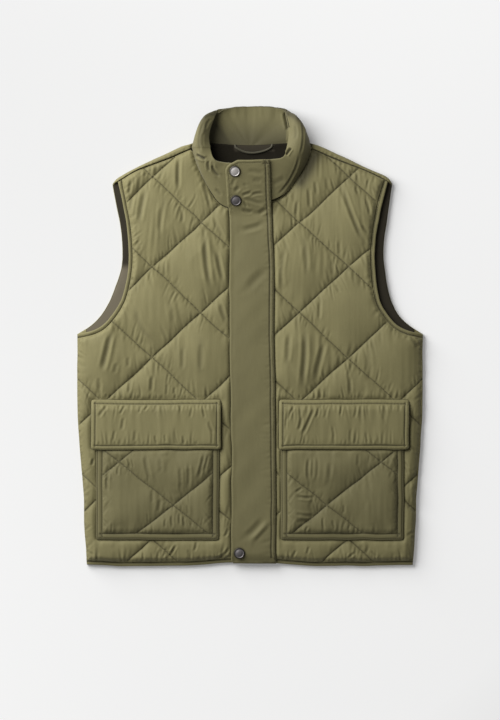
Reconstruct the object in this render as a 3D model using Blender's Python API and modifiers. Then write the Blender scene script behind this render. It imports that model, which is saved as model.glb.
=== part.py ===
"""Quilted sleeveless vest lying on its back, as cut and sewn pieces.

Metres, +Z up. +Y runs from hem to collar and -X is the wearer's right.
Tables and heights are in millimetres and are scaled when a mesh is made.
"""
import math

import bmesh
import bpy
import numpy as np
from mathutils import Vector
from mathutils.geometry import delaunay_2d_cdt

MM = 0.001

# Walls and layers, from the floor up
BACK_EDGE = 2.6
BACK_LOFT = 5.5
LAYER_GAP = 0.4
LINING = 1.0
SEWN_EDGE = 2.6
FRONT_LOFT = 9.0
UNDER_PLACKET = 4.0
UNDER_POCKET = 5.0
POCKET_HEM = 3.0
POCKET_LOFT = 7.6
UNDER_FLAP = 3.2
ARMHOLE_LIFT = 3.0
COLLAR_WALL = 4.0

# Widths over which a wall gains its height
EDGE_RAMP = 14.0
EDGE_ROUND = 9.0
BACK_ROUND = 2.2
PUFF_RAMP = 12.0
POCKET_RAMP = 10.0
FLAP_RAMP = 8.0
LIFT_WIDTH = 40.0

# Edge profiles: distance in from the edge, wall there
BAND_EDGE = ((0.0, 1.6), (1.3, 3.2), (4.8, 3.2), (6.2, 2.4))
PLACKET_EDGE = ((0.0, 2.4), (2.0, 3.6), (8.0, 4.2))
FLAP_EDGE = ((0.0, 2.2), (2.0, 3.4), (9.0, 4.4))
POCKET_EDGE = ((0.0, 2.2), (0.6, POCKET_HEM))
SHOULDER_ROLL = ((0.0, 7.0), (1.5, 11.2), (4.0, 12.6))

# Trim, seams and clearances
BAND = BAND_EDGE[-1][0]
TOPSTITCH = 8.0
CUT_GAP = 0.3
SEAM_GAP = 0.4
SHOULDER_GAP = 0.9
LINING_GAP = 1.2
LINING_SIDE_INSET = 14.5
LINING_ARM_INSET = 0.8
CENTRE_GAP = 1.5
NECK_TUCK = 0.6
NECK_STOP = 3.0
COLLAR_CLEAR = 1.1
CORNER = 4.0
FLAP_CORNER = 3.0
LOOP_RADIUS = 1.4

# Where lines are carried on to, so that they cut right across a panel
LINE_REACH = 6.0
CUT_REACH = 25.0
SEAM_REACH = (88.0, 232.0)
ROLL_FROM = 94.0
NECK_CORNER = 97.6
QUILT_AREA = (1.0, 290.0, 300.0, -370.0)
PLAIN_AREA = (16.0, 250.0, -340.0, 290.0)
PLAIN_STEP = 32.0
RIM_STEP = 12.0
RIM_CLEAR = 2.0

# Half outlines, x outwards and y towards the collar
SIDE = ((261.5, -366.5), (266.0, -300.0), (266.6, -262.0), (270.5, -205.0), (275.0, -150.0),
        (276.6, -90.0), (277.0, 3.0))
BACK_ARMHOLE = ((277.0, 3.0), (249.0, 22.0), (226.0, 55.0), (211.0, 110.0), (210.0, 150.0),
                (216.0, 195.0), (224.5, 243.0))
FRONT_ARMHOLE = ((277.0, 3.0), (250.0, 9.5), (229.0, 24.0), (207.0, 58.0), (197.3, 110.0),
                 (198.6, 160.0), (206.0, 205.0), (216.0, 246.7))
SHOULDER_FOLD = ((224.5, 243.0), (216.0, 254.0), (186.0, 269.0), (132.0, 294.5), (95.5, 311.0))
SHOULDER_SEAM = ((100.0, 298.2), (148.0, 278.5), (182.0, 266.0), (216.0, 247.5))
BACK_NECK = ((95.5, 311.0), (97.6, 302.0), (84.0, 305.4), (56.0, 303.2), (0.0, 300.2))
HEM = ((0.0, -363.6), (36.0, -363.6), (85.0, -367.4), (140.0, -368.5), (215.0, -368.2),
       (261.5, -366.5))

# Placket edges, top to bottom
PLACKET_FREE = ((-39.5, 266.0), (-36.0, 210.0), (-32.8, 185.0), (-32.8, -6.0), (-29.5, -174.0),
                (-29.8, -310.0), (-30.0, -360.0))
PLACKET_SEWN = ((31.2, 282.4), (35.2, 187.0), (38.4, 105.0), (38.6, 10.0), (40.8, -126.0),
                (41.6, -262.0), (41.0, -364.6))
PLACKET_TOP = ((22.0, 282.8), (-20.8, 281.6), (-31.0, 279.6), (-37.0, 274.5))
PLACKET_BOTTOM = ((-26.0, -364.2), (20.0, -364.8))
PLACKET_SPAN = 60.0
PLACKET_LEVELS = (160.0, 176.0, 188.0, 192.0, 196.0, 200.0, 212.0, 228.0, 246.0, 262.0)

# Patch pocket and its flap: inner x, outer x, top y, bottom y
POCKET_BOX = (49.5, 246.0, -119.0, -326.0)
FLAP_BOX = (46.5, 254.0, -102.0, -181.5)
FLAP_CLIMB = (3.0, 15.0)

# Diamond quilting: a crossing's x and y, half a diamond's width and height
BODY_QUILT = (0.0, 254.4, 78.4, 72.3)
POCKET_QUILT = (123.2, -270.4, 86.4, 69.6)
QUILT_STEPS = (0.0, 0.05, 0.28, 0.72, 0.95)

# Largest folds: from x y, to x y, half width, depth (less than nothing for a ridge)
FRONT_FOLDS = (
    (-114.6, 279.0, -114.6, 241.0, 6.0, 1.6),
    (-164.0, 232.0, -169.6, 182.0, 7.0, 1.6),
    (-73.0, 166.0, -61.0, 71.0, 9.0, 2.6),
    (-54.0, 140.0, -42.0, 83.0, 7.0, 2.2),
    (-218.5, 13.5, -238.0, -61.0, 8.0, 2.4),
    (-156.0, -61.0, -158.0, -92.0, 5.0, 1.6),
    (-77.0, 2.0, -80.0, -67.0, 10.0, 1.4),
    (147.5, 244.0, 185.5, 144.0, 8.0, 2.2),
    (185.5, 222.0, 193.0, 192.0, 5.0, 1.6),
    (57.0, 147.0, 51.0, 67.0, 7.0, 1.8),
    (87.0, 126.0, 92.0, 88.0, 8.0, 1.2),
    (62.5, 8.5, 57.5, -51.0, 6.0, 1.8),
    (88.0, 19.0, 80.0, -94.0, 8.0, 2.4),
    (120.0, -5.5, 104.0, -76.5, 8.0, 2.2),
)
PLACKET_FOLDS = (
    (-19.0, 201.5, 13.0, 195.0, 6.0, 1.2),
    (13.0, 195.0, 28.0, 205.0, 6.0, 1.0),
    (-13.0, 169.5, 22.0, 179.0, 8.0, 0.9),
    (24.0, 104.0, -5.0, 75.0, 9.0, 0.8),
    (20.0, -294.0, -8.0, -322.0, 6.0, 0.9),
    (30.0, -297.0, 1.0, -328.0, 5.0, -1.0),
)

# Slope of the collar's front, which the placket follows
FRONT_RISE_AT = (205.0, 11.8)
FRONT_SLOPE = 0.27

# Collar sections: seam x y z, half height x y z, top edge x y z
COLLAR = (
    (-1.6, 198.4, 10.0, -1.6, 236.0, 20.2, -1.6, 274.0, 30.4),
    (-44.8, 209.6, 13.0, -46.0, 243.0, 22.1, -43.0, 276.5, 31.1),
    (-67.2, 241.6, 12.2, -70.0, 265.0, 26.0, -57.5, 282.0, 33.0),
    (-85.0, 275.2, 12.2, -82.5, 297.0, 33.0, -64.0, 301.0, 28.0),
    (-94.0, 302.4, 12.2, -82.5, 324.0, 33.5, -66.0, 322.0, 25.0),
    (-84.0, 308.0, 6.0, -75.0, 347.0, 26.0, -57.0, 348.5, 21.0),
    (-56.0, 305.4, 3.2, -57.0, 343.0, 7.0, -43.0, 363.0, 12.0),
    (0.0, 302.4, 2.8, 1.0, 336.0, 3.0, 5.0, 368.4, 6.0),
    (56.0, 305.4, 3.2, 59.5, 343.0, 7.0, 51.0, 364.0, 12.0),
    (84.0, 308.0, 6.0, 77.0, 347.0, 26.0, 57.0, 351.0, 21.0),
    (94.0, 302.4, 12.2, 82.5, 324.0, 33.5, 62.5, 324.0, 25.0),
    (86.0, 275.2, 12.2, 79.5, 297.0, 33.0, 59.5, 302.0, 28.0),
    (70.4, 246.4, 12.2, 71.0, 271.0, 27.0, 54.0, 286.0, 33.0),
    (48.0, 222.4, 16.5, 46.4, 252.0, 24.5, 40.0, 281.5, 32.5),
    (1.6, 208.0, 12.6, 1.6, 244.0, 22.3, 1.6, 280.0, 32.1),
)
FRONT_SECTIONS = 5
COLLAR_PIECES = 3
COLLAR_ROWS = 7

# Sideways settling of the upper body as it lies: over |x|, and up from a height
SETTLE_X = (76.0, 90.0, 110.0, 160.0, 198.0, 212.0, 224.0)
SETTLE_BY = (0.0, 2.5, 2.0, 1.0, 3.0, 5.2, 3.9)
SETTLE_FROM = 40.0
SETTLE_OVER = 80.0

# Hanger loop along the back neck, and the press-stud caps on the placket
HANGER = ((-23.5, 307.0, 7.2), (-21.5, 301.2, 9.0), (-9.0, 295.0, 9.1), (6.0, 293.4, 9.1),
          (22.0, 296.2, 9.1), (33.5, 301.6, 9.0), (36.0, 307.0, 7.2))
SNAPS = {"snap_collar": (-24.3, 262.1), "snap_neck": (-22.6, 216.3), "snap_hem": (-17.1, -347.2)}
SNAP_PROFILE = ((0.0, 3.0), (3.0, 2.8), (5.6, 2.3), (6.6, 1.9), (7.8, 2.2), (8.6, 1.5),
                (8.6, 0.6), (8.0, 0.0), (0.0, 0.0))
SNAP_STEPS = 20


def clear_scene():
    for thing in list(bpy.data.objects):
        bpy.data.objects.remove(thing, do_unlink=True)


def collection(name):
    group = bpy.data.collections.new(name)
    bpy.context.scene.collection.children.link(group)
    return group


def material(name, colour, roughness, metallic=0.0):
    made = bpy.data.materials.new(name)
    made.use_nodes = True
    shader = made.node_tree.nodes["Principled BSDF"]
    shader.inputs["Base Color"].default_value = (*colour, 1.0)
    shader.inputs["Roughness"].default_value = roughness
    shader.inputs["Metallic"].default_value = metallic
    return made


def spline(points, pieces):
    """Smooth line through the points, cut into equal pieces between each two."""
    p = np.array(points, float)
    p = np.vstack([2 * p[0] - p[1], p, 2 * p[-1] - p[-2]])
    t = np.linspace(0, 1, pieces, endpoint=False)[:, None]
    spans = [0.5 * (2 * b + (c - a) * t + (2 * a - 5 * b + 4 * c - d) * t ** 2
                    + (3 * b - a - 3 * c + d) * t ** 3)
             for a, b, c, d in zip(p, p[1:], p[2:], p[3:])]
    return np.vstack([*spans, p[-2]])


def mirrored(line, side):
    return np.asarray(line, float) * (side, 1.0)


def offset(line, gap, extend=0.0):
    """Line moved to its left, with mitred corners and its ends made longer."""
    line = np.asarray(line, float)
    step = np.diff(line, axis=0)
    step /= np.linalg.norm(step, axis=1)[:, None]
    normal = np.column_stack([-step[:, 1], step[:, 0]])
    mitre = np.vstack([normal[:1], normal[:-1] + normal[1:], normal[-1:]])
    near = np.vstack([normal[:1], normal[1:], normal[-1:]])
    moved = line + mitre * gap / np.sum(mitre * near, axis=1)[:, None]
    moved[0] -= step[0] * extend
    moved[-1] += step[-1] * extend
    return moved


def distance(points, line):
    """Distance of each point from an open line."""
    a, b = np.asarray(line, float)[:-1], np.asarray(line, float)[1:]
    span = b - a
    rel = points[:, None, :] - a
    t = np.clip(np.sum(rel * span, axis=2) / np.sum(span * span, axis=1), 0, 1)
    return np.linalg.norm(rel - t[..., None] * span, axis=2).min(axis=1)


def inside(points, loop):
    x, y = points[:, :1], points[:, 1:]
    a, b = loop, np.roll(loop, -1, axis=0)
    crosses = (a[:, 1] > y) != (b[:, 1] > y)
    rise = np.where(b[:, 1] == a[:, 1], 1.0, b[:, 1] - a[:, 1])
    meets = a[:, 0] + (y - a[:, 1]) * (b[:, 0] - a[:, 0]) / rise
    return np.sum(crosses & (x < meets), axis=1) % 2 == 1


def outside(points, loop):
    """Distance outside a loop, nothing within it."""
    return np.where(inside(points, loop), 0.0, distance(points, closed(loop)))


def closed(loop):
    return np.vstack([loop, loop[:1]])


def ramp(d, width):
    return np.clip(d / width, 0, 1)


def profile(d, table):
    return np.interp(d, *zip(*table))


def creased(points, folds):
    """Depth of the folds at each point, most along a fold's own line."""
    depth = np.zeros(len(points))
    for xa, ya, xb, yb, width, deep in folds:
        depth += deep * (1 - ramp(distance(points, ((xa, ya), (xb, yb))), width))
    return depth


def fold_lines(folds):
    """A fold's own line and the two where it ends."""
    lines = []
    for xa, ya, xb, yb, width, _ in folds:
        lines += [offset(((xa, ya), (xb, yb)), gap) for gap in (-width, 0.0, width)]
    return lines


def box_loop(box, side, corner=CORNER):
    """Rounded rectangle, as a loop."""
    x0, x1, y1, y0 = box
    quarter = np.linspace(0, math.pi / 2, 4)
    points = []
    for turn, (cx, cy) in enumerate(((x1 - corner, y1 - corner), (x0 + corner, y1 - corner),
                                     (x0 + corner, y0 + corner), (x1 - corner, y0 + corner))):
        angles = quarter + turn * math.pi / 2
        points.append(np.column_stack([cx + corner * np.cos(angles), cy + corner * np.sin(angles)]))
    return mirrored(np.vstack(points), side)


# Lines that several pieces share
SIDE_LINE = spline(SIDE, 2)
BACK_ARM_LINE = spline(BACK_ARMHOLE, 3)
FRONT_ARM_LINE = spline(FRONT_ARMHOLE, 3)
FOLD_LINE = spline(SHOULDER_FOLD, 3)
SEAM_LINE = spline(SHOULDER_SEAM, 3)
BACK_NECK_LINE = np.array(BACK_NECK)
HEM_LINE = spline(HEM, 3)
COLLAR_SECTIONS = spline(COLLAR, COLLAR_PIECES)
COLLAR_SEAM = COLLAR_SECTIONS[:, :2]


def seam_height(x):
    """Shoulder seam's y over x, carried on past both ends."""
    sx, sy = SEAM_LINE[:, 0], SEAM_LINE[:, 1]
    near = sy[0] + (sx[0] - x) * (sy[0] - sy[1]) / (sx[1] - sx[0])
    far = sy[-1] + (x - sx[-1]) * (sy[-1] - sy[-2]) / (sx[-1] - sx[-2])
    return np.where(x < sx[0], near, np.where(x > sx[-1], far, np.interp(x, sx, sy)))


def seam_guide(gap):
    x = np.array([SEAM_REACH[0], *SEAM_LINE[:, 0], SEAM_REACH[1]])
    return np.column_stack([x, seam_height(x) + gap])


def placket_loop():
    free, sewn = spline(PLACKET_FREE, 3), spline(PLACKET_SEWN, 3)
    return np.vstack([free, PLACKET_BOTTOM, sewn[::-1], PLACKET_TOP])


def neck_line(side):
    """Front neck edge, from the centre to the shoulder, just under the collar."""
    count = COLLAR_PIECES * (FRONT_SECTIONS - 1) + 1
    seam = COLLAR_SEAM[:count] if side < 0 else COLLAR_SEAM[::-1][:count]
    line = offset(seam, NECK_TUCK * -side)
    return line[line[:, 1] < seam_height(np.abs(line[:, 0])) - NECK_STOP]


def front_loop(side):
    neck = neck_line(side)
    neck[0, 0] = CENTRE_GAP * side
    shoulder = np.vstack([(NECK_CORNER, seam_height(NECK_CORNER)), SEAM_LINE]) - (0, SHOULDER_GAP)
    outer = np.vstack([shoulder, FRONT_ARM_LINE[::-1][1:], SIDE_LINE[::-1][1:], HEM_LINE[::-1][1:-1]])
    centre = [(CENTRE_GAP * side, HEM_LINE[0, 1])]
    return np.vstack([neck, mirrored(outer, side), centre])


def back_half():
    return np.vstack([HEM_LINE[:-1], SIDE_LINE[:-1], BACK_ARM_LINE[:-1], FOLD_LINE[:-1], BACK_NECK_LINE])


def back_loop():
    half = back_half()
    return np.vstack([half, mirrored(half[::-1][1:-1], -1)])


PLACKET = placket_loop()
EDGE_LINE = np.vstack([HEM_LINE, SIDE_LINE[1:]])


def halves(points):
    return np.column_stack([np.abs(points[:, 0]), points[:, 1]])


def side_of(points):
    return 1 if points[:, 0].mean() > 0 else -1


def edge_share(points):
    """How far the padding has risen in from the hem and sides."""
    return ramp(distance(halves(points), EDGE_LINE), EDGE_RAMP)


def back_top(points):
    """Inside face of the back: padding, with the roll that lies forward over the shoulder."""
    half = halves(points)
    open_edge = np.minimum(distance(half, BACK_ARM_LINE), distance(half, BACK_NECK_LINE[2:]))
    share = edge_share(points) * (0.5 + 0.5 * ramp(open_edge, BACK_ROUND))
    plain = BACK_EDGE + (BACK_LOFT - BACK_EDGE) * share
    rolled = (half[:, 0] > ROLL_FROM) & (half[:, 1] > seam_height(half[:, 0]))
    return np.where(rolled, profile(distance(half, FOLD_LINE), SHOULDER_ROLL), plain)


def lining_under(points):
    return np.full(len(points), BACK_LOFT + LAYER_GAP)


def lining_top(points):
    return lining_under(points) + LINING


def front_under(points):
    share = edge_share(points)
    plain = BACK_EDGE + (BACK_LOFT - BACK_EDGE) * share + LAYER_GAP + (LINING + LAYER_GAP) * share
    lift = 1 - ramp(distance(halves(points), FRONT_ARM_LINE[3:]), LIFT_WIDTH)
    return plain + ARMHOLE_LIFT * lift * share


def quilt_rise(points, quilt):
    """Height of a quilted diamond, nothing on its stitch lines and one in its middle."""
    x0, y0, wide, high = quilt
    u = (np.abs(points[:, 0]) - x0) / wide
    v = (y0 - points[:, 1]) / high
    share = np.ones(len(points))
    for way in ((u + v) / 2, (u - v) / 2):
        share = share * (1 - (1 - 2 * np.abs(way - np.round(way))) ** 4)
    return share


def quilt_lines(quilt, side, box):
    """Stitch lines and their neighbours, straight across a box of x and y."""
    x0, y0, wide, high = quilt
    xa, xb, ya, yb = box
    ua, ub = (xa - x0) / wide, (xb - x0) / wide
    lines = []
    for slope in (1, -1):
        ends = [(slope * u + v) / 2 for u in (ua, ub) for v in ((y0 - ya) / high, (y0 - yb) / high)]
        for k in range(math.floor(min(ends)), math.ceil(max(ends)) + 1):
            for part in QUILT_STEPS:
                v = np.array([2 * (k + part) - slope * ua, 2 * (k + part) - slope * ub])
                lines.append(mirrored(np.column_stack([(xa, xb), y0 - v * high]), side))
    return lines


def front_top(points):
    """Outside face of a front: quilted, but flat where a placket or pocket lies on it."""
    side = side_of(points)
    puff = FRONT_LOFT - SEWN_EDGE - creased(points, FRONT_FOLDS)
    wall = SEWN_EDGE + puff * quilt_rise(points, BODY_QUILT)
    covers = [outside(points, box_loop(box, side)) for box in (POCKET_BOX, FLAP_BOX)]
    wall = UNDER_POCKET + (wall - UNDER_POCKET) * ramp(np.min(covers, axis=0), PUFF_RAMP)
    wall = UNDER_PLACKET + (wall - UNDER_PLACKET) * ramp(outside(points, PLACKET), PUFF_RAMP)
    half = halves(points)
    edges = [distance(half, FRONT_ARM_LINE) - BAND, distance(half, SIDE_LINE),
             distance(half, HEM_LINE) - BAND, distance(half, SEAM_LINE), distance(points, neck_line(side))]
    wall = SEWN_EDGE + (wall - SEWN_EDGE) * ramp(np.min(edges, axis=0), EDGE_ROUND)
    return front_under(points) + wall


def band_top(line):
    """Rounded top of a binding or hem band on a front."""
    return lambda points: front_under(points) + profile(distance(halves(points), line), BAND_EDGE)


def placket_under(points):
    lying = front_under(points) + UNDER_PLACKET + LAYER_GAP
    collar = FRONT_RISE_AT[1] + FRONT_SLOPE * (points[:, 1] - FRONT_RISE_AT[0])
    return np.maximum(lying, collar + COLLAR_WALL / 2 + COLLAR_CLEAR)


def placket_top(points):
    wall = profile(distance(points, closed(PLACKET)), PLACKET_EDGE)
    return placket_under(points) + wall - creased(points, PLACKET_FOLDS)


def pocket_under(points):
    return front_under(points) + UNDER_POCKET + LAYER_GAP


def pocket_top(points):
    side = side_of(points)
    d = distance(points, closed(box_loop(POCKET_BOX, side)))
    wall = SEWN_EDGE + (POCKET_LOFT - SEWN_EDGE) * quilt_rise(points, POCKET_QUILT)
    wall = POCKET_HEM + (wall - POCKET_HEM) * ramp(d - TOPSTITCH, POCKET_RAMP)
    wall = UNDER_FLAP + (wall - UNDER_FLAP) * ramp(outside(points, box_loop(FLAP_BOX, side)), FLAP_RAMP)
    return pocket_under(points) + np.where(d < POCKET_EDGE[1][0], profile(d, POCKET_EDGE), wall)


def flap_under(points):
    """Flap's underside: sewn to the front at its top, then over the pocket."""
    climb = np.interp(FLAP_BOX[2] - points[:, 1], FLAP_CLIMB, (0.0, UNDER_FLAP + LAYER_GAP))
    return front_under(points) + UNDER_POCKET + LAYER_GAP + climb


def flap_top(points):
    d = distance(points, closed(box_loop(FLAP_BOX, side_of(points))))
    return flap_under(points) + profile(d, FLAP_EDGE)


def triangles(lines, merge=0.05):
    """Plane filled with triangles that keep to the lines."""
    verts, edges = [], []
    for line in lines:
        first = len(verts)
        verts += [Vector(p) for p in line]
        edges += [(first + i, first + i + 1) for i in range(len(line) - 1)]
    made = delaunay_2d_cdt(verts, edges, [], 0, merge)
    return np.array([tuple(v) for v in made[0]]), np.array(made[2])


def ring_fill(ring, lines):
    """Triangles within a ring, with every ring point kept as it is, and lines that lie inside it."""
    count = len(ring)
    verts, edges = list(ring), [(i, (i + 1) % count) for i in range(count)]
    for line in lines:
        kept = np.flatnonzero(inside(line, ring) & (distance(line, closed(ring)) > RIM_CLEAR))
        first = len(verts)
        edges += [(first + int(i), first + int(i) + 1) for i in np.flatnonzero(np.diff(kept) == 1)]
        verts += list(line[kept])
    made = delaunay_2d_cdt([Vector(p) for p in verts], edges, [], 0, 1e-6)
    flat, faces = np.array([tuple(v) for v in made[0]]), np.array(made[2])
    source = np.array([ids[0] for ids in made[3]])
    return np.array(verts), source[faces[inside(flat[faces].mean(axis=1), ring)]]


def border(faces):
    """Edges with a face on one side only, as one loop of points."""
    edges = {(f[i], f[(i + 1) % 3]) for f in faces for i in range(3)}
    after = {a: b for a, b in edges if (b, a) not in edges}
    loop = [min(after)]
    while after[loop[-1]] != loop[0]:
        loop.append(after[loop[-1]])
    return loop


def settled(verts):
    """Points moved sideways as the upper body lies."""
    verts = np.array(verts, float)
    up = ramp(verts[:, 1] - SETTLE_FROM, SETTLE_OVER)
    verts[:, 0] += np.interp(np.abs(verts[:, 0]), SETTLE_X, SETTLE_BY) * up
    return verts


def add_mesh(name, verts, faces, finish, group):
    mesh = bpy.data.meshes.new(name)
    mesh.from_pydata((settled(verts) * MM).tolist(), [], faces)
    work = bmesh.new()
    work.from_mesh(mesh)
    bmesh.ops.recalc_face_normals(work, faces=work.faces)
    work.to_mesh(mesh)
    work.free()
    mesh.materials.append(finish)
    thing = bpy.data.objects.new(name, mesh)
    group.objects.link(thing)
    return thing


def cloth(name, loop, guides, keep, under, top, finish, group, plain=None):
    """Panel cut from a blank along guide lines, with a wall between two heights.

    plain lists the lines of an underside that doesn't follow the outside's triangles.
    """
    flat, faces = triangles([closed(loop), *guides])
    middles = flat[faces].mean(axis=1)
    faces = faces[inside(middles, loop) & keep(middles)]
    used = np.unique(faces)
    flat, faces = flat[used], np.searchsorted(used, faces)
    count, ring = len(flat), border(faces.tolist())
    if plain is None:
        below, low, rim = flat, faces, np.array(ring) + count
    else:
        below, low = ring_fill(flat[ring], plain)
        rim = np.arange(len(ring)) + count
    verts = np.vstack([np.column_stack([flat, top(flat)]), np.column_stack([below, under(below)])])
    walls = [(ring[i], ring[i - 1], rim[i - 1], rim[i]) for i in range(len(ring))]
    whole = [*faces.tolist(), *(low[:, ::-1] + count).tolist(), *walls]
    return add_mesh(name, verts.tolist(), [list(map(int, f)) for f in whole], finish, group)


def floor(points):
    return np.zeros(len(points))


def everywhere(points):
    return np.ones(len(points), bool)


def beyond(line, gap):
    return lambda points: distance(halves(points), line) > gap


def within(line, gap):
    return lambda points: distance(halves(points), line) < gap


def both(first, second):
    return lambda points: first(points) & second(points)


def both_sides(line):
    """Half line that starts on the centre, joined to its mirror image."""
    return np.vstack([mirrored(line[::-1][:-1], -1), line])


def cut_lines(line):
    """The two edges that a band and its panel leave between them."""
    return [offset(line, BAND, CUT_REACH), offset(line, BAND + CUT_GAP, CUT_REACH)]


def off_band(line):
    """Keeps a panel's triangles, on the inner side of a cut."""
    return beyond(line, BAND + 0.75 * CUT_GAP)


def in_band(line):
    """Keeps a band's triangles, on the outer side of a cut."""
    return within(line, BAND + 0.25 * CUT_GAP)


def level_lines(area, side):
    """Rows of points across a box, for a plain underside."""
    xa, xb, ya, yb = area
    x = np.arange(xa, xb, PLAIN_STEP) * side
    return [np.column_stack([x, np.full(len(x), y)]) for y in np.arange(ya, yb, PLAIN_STEP)]


def resampled(line, step):
    along = np.concatenate([[0], np.cumsum(np.linalg.norm(np.diff(line, axis=0), axis=1))])
    spots = np.linspace(0, along[-1], max(2, int(along[-1] / step)))
    return np.column_stack([np.interp(spots, along, line[:, i]) for i in (0, 1)])


def grown(box, gap):
    return (box[0] - gap, box[1] + gap, box[2] + gap, box[3] - gap)


def clear_parts(line, covers, pieces=400, least=3):
    """Parts of a straight line that no cover hides."""
    spots = line[0] + np.linspace(0, 1, pieces)[:, None] * (line[1] - line[0])
    shown = ~np.any([inside(spots, cover) for cover in covers], axis=0)
    cuts = np.flatnonzero(np.diff(np.concatenate([[0], shown.astype(int), [0]])))
    return [spots[[a, b - 1]] for a, b in zip(cuts[::2], cuts[1::2]) if b - a > least]


def build_back(finish, group):
    loop = back_loop()
    guides = [*cut_lines(both_sides(HEM_LINE)), offset(both_sides(EDGE_LINE), EDGE_RAMP, CUT_REACH)]
    guides.append(both_sides(BACK_NECK_LINE[:1:-1] - (0, BACK_ROUND)))
    for side in (1, -1):
        guides.append(mirrored(offset(BACK_ARM_LINE, BACK_ROUND, LINE_REACH), side))
        guides += [mirrored(seam_guide(gap), side) for gap in (-SEAM_GAP, SEAM_GAP)]
        guides += [mirrored(offset(FOLD_LINE, gap, LINE_REACH), side) for gap, _ in SHOULDER_ROLL[1:]]
    cloth("back_panel", loop, guides, off_band(HEM_LINE), floor, back_top, finish, group, plain=[])
    cloth("hem_band_back", loop, guides[:2], in_band(HEM_LINE), floor, back_top, finish, group)


def build_lining(finish, group):
    """Lining of the back, inset from the sewn edges and the shoulder rolls."""
    guides = [offset(both_sides(EDGE_LINE), LINING_SIDE_INSET, CUT_REACH)]
    for side in (1, -1):
        guides.append(mirrored(offset(BACK_ARM_LINE, LINING_ARM_INSET, CUT_REACH), side))
        guides.append(mirrored(seam_guide(-LINING_GAP), side))
    sewn = both(beyond(BACK_ARM_LINE, LINING_ARM_INSET - 0.1), beyond(EDGE_LINE, LINING_SIDE_INSET - 0.1))

    def below_seam(points):
        half = halves(points)
        return half[:, 1] < seam_height(half[:, 0]) - LINING_GAP + 0.1

    cloth("back_lining", back_loop(), guides, both(sewn, below_seam), lining_under, lining_top, finish, group)


def build_front(name, side, finish, group):
    loop = front_loop(side)
    guides = [mirrored(line, side) for line in cut_lines(FRONT_ARM_LINE) + cut_lines(HEM_LINE)]
    guides += [mirrored(offset(line, width + EDGE_ROUND), side) for line, width in
               ((FRONT_ARM_LINE, BAND), (HEM_LINE, BAND), (SIDE_LINE, 0.0))]
    guides += [mirrored(SEAM_LINE - (0, EDGE_ROUND), side), offset(neck_line(side), EDGE_ROUND * -side)]
    guides.append(mirrored(offset(EDGE_LINE, EDGE_RAMP, CUT_REACH), side))
    covers = [box_loop(box, side) for box in (POCKET_BOX, FLAP_BOX)]
    guides += [closed(cover) for cover in covers]
    guides += [closed(box_loop(grown(box, PUFF_RAMP), side)) for box in (POCKET_BOX, FLAP_BOX)]
    edge = spline(PLACKET_FREE if side < 0 else PLACKET_SEWN, 3)
    guides += [edge, offset(edge, PUFF_RAMP * side)]
    quilt = quilt_lines(BODY_QUILT, side, QUILT_AREA)
    guides += [part for line in quilt for part in clear_parts(line, [*covers, PLACKET])]
    guides += [line for line in fold_lines(FRONT_FOLDS) if side_of(line) == side]
    rim = mirrored(offset(EDGE_LINE, EDGE_RAMP), side)
    inner = [resampled(rim, RIM_STEP), *level_lines(PLAIN_AREA, side)]
    panel = both(off_band(FRONT_ARM_LINE), off_band(HEM_LINE))
    cloth("front_" + name, loop, guides, panel, front_under, front_top, finish, group, plain=inner)


def build_band(name, line, side, keep, finish, group):
    """Binding or hem band, cut from the same outline as the front that it edges."""
    guides = cut_lines(line) + [offset(line, gap, LINE_REACH) for gap, _ in BAND_EDGE[1:3]]
    guides = [mirrored(guide, side) for guide in guides]
    cloth(name, front_loop(side), guides, keep, front_under, band_top(line), finish, group)


def build_placket(finish, group):
    guides = [closed(inset(PLACKET, gap)) for gap, _ in PLACKET_EDGE[1:]]
    guides += [np.array([(-PLACKET_SPAN, y), (PLACKET_SPAN, y)]) for y in PLACKET_LEVELS]
    guides += [both_sides(offset(HEM_LINE, gap)[:9]) for gap in (BAND, EDGE_RAMP)]
    guides += fold_lines(PLACKET_FOLDS)
    cloth("placket", PLACKET, guides, everywhere, placket_under, placket_top, finish, group)


def build_pocket(name, side, finish, group):
    loop = box_loop(POCKET_BOX, side)
    flap = box_loop(FLAP_BOX, side)
    insets = (POCKET_EDGE[1][0], TOPSTITCH, TOPSTITCH + POCKET_RAMP)
    guides = [closed(box_loop(grown(POCKET_BOX, -gap), side)) for gap in insets]
    guides += [closed(flap), closed(box_loop(grown(FLAP_BOX, FLAP_RAMP), side))]
    quilt = quilt_lines(POCKET_QUILT, side, grown(POCKET_BOX, -TOPSTITCH))
    guides += [part for line in quilt for part in clear_parts(line, [flap])]
    x0, x1, y1, y0 = grown(POCKET_BOX, -PLAIN_STEP / 2)
    inner = level_lines((x0, x1, y0, y1), side)
    cloth("pocket_" + name, loop, guides, everywhere, pocket_under, pocket_top, finish, group, plain=inner)


def build_flap(name, side, finish, group):
    guides = [closed(box_loop(grown(FLAP_BOX, -gap), side, FLAP_CORNER)) for gap, _ in FLAP_EDGE[1:]]
    x0, x1, _, _ = grown(FLAP_BOX, LINE_REACH)
    levels = [FLAP_BOX[2] - down for down in FLAP_CLIMB]
    guides += [mirrored(((x0, y), (x1, y)), side) for y in levels]
    loop = box_loop(FLAP_BOX, side)
    cloth("pocket_flap_" + name, loop, guides, everywhere, flap_under, flap_top, finish, group)


def inset(loop, gap):
    """Loop moved to its left all the way round."""
    around = offset(np.vstack([loop[-1:], loop, loop[:1]]), gap)
    return around[1:-1]


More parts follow.
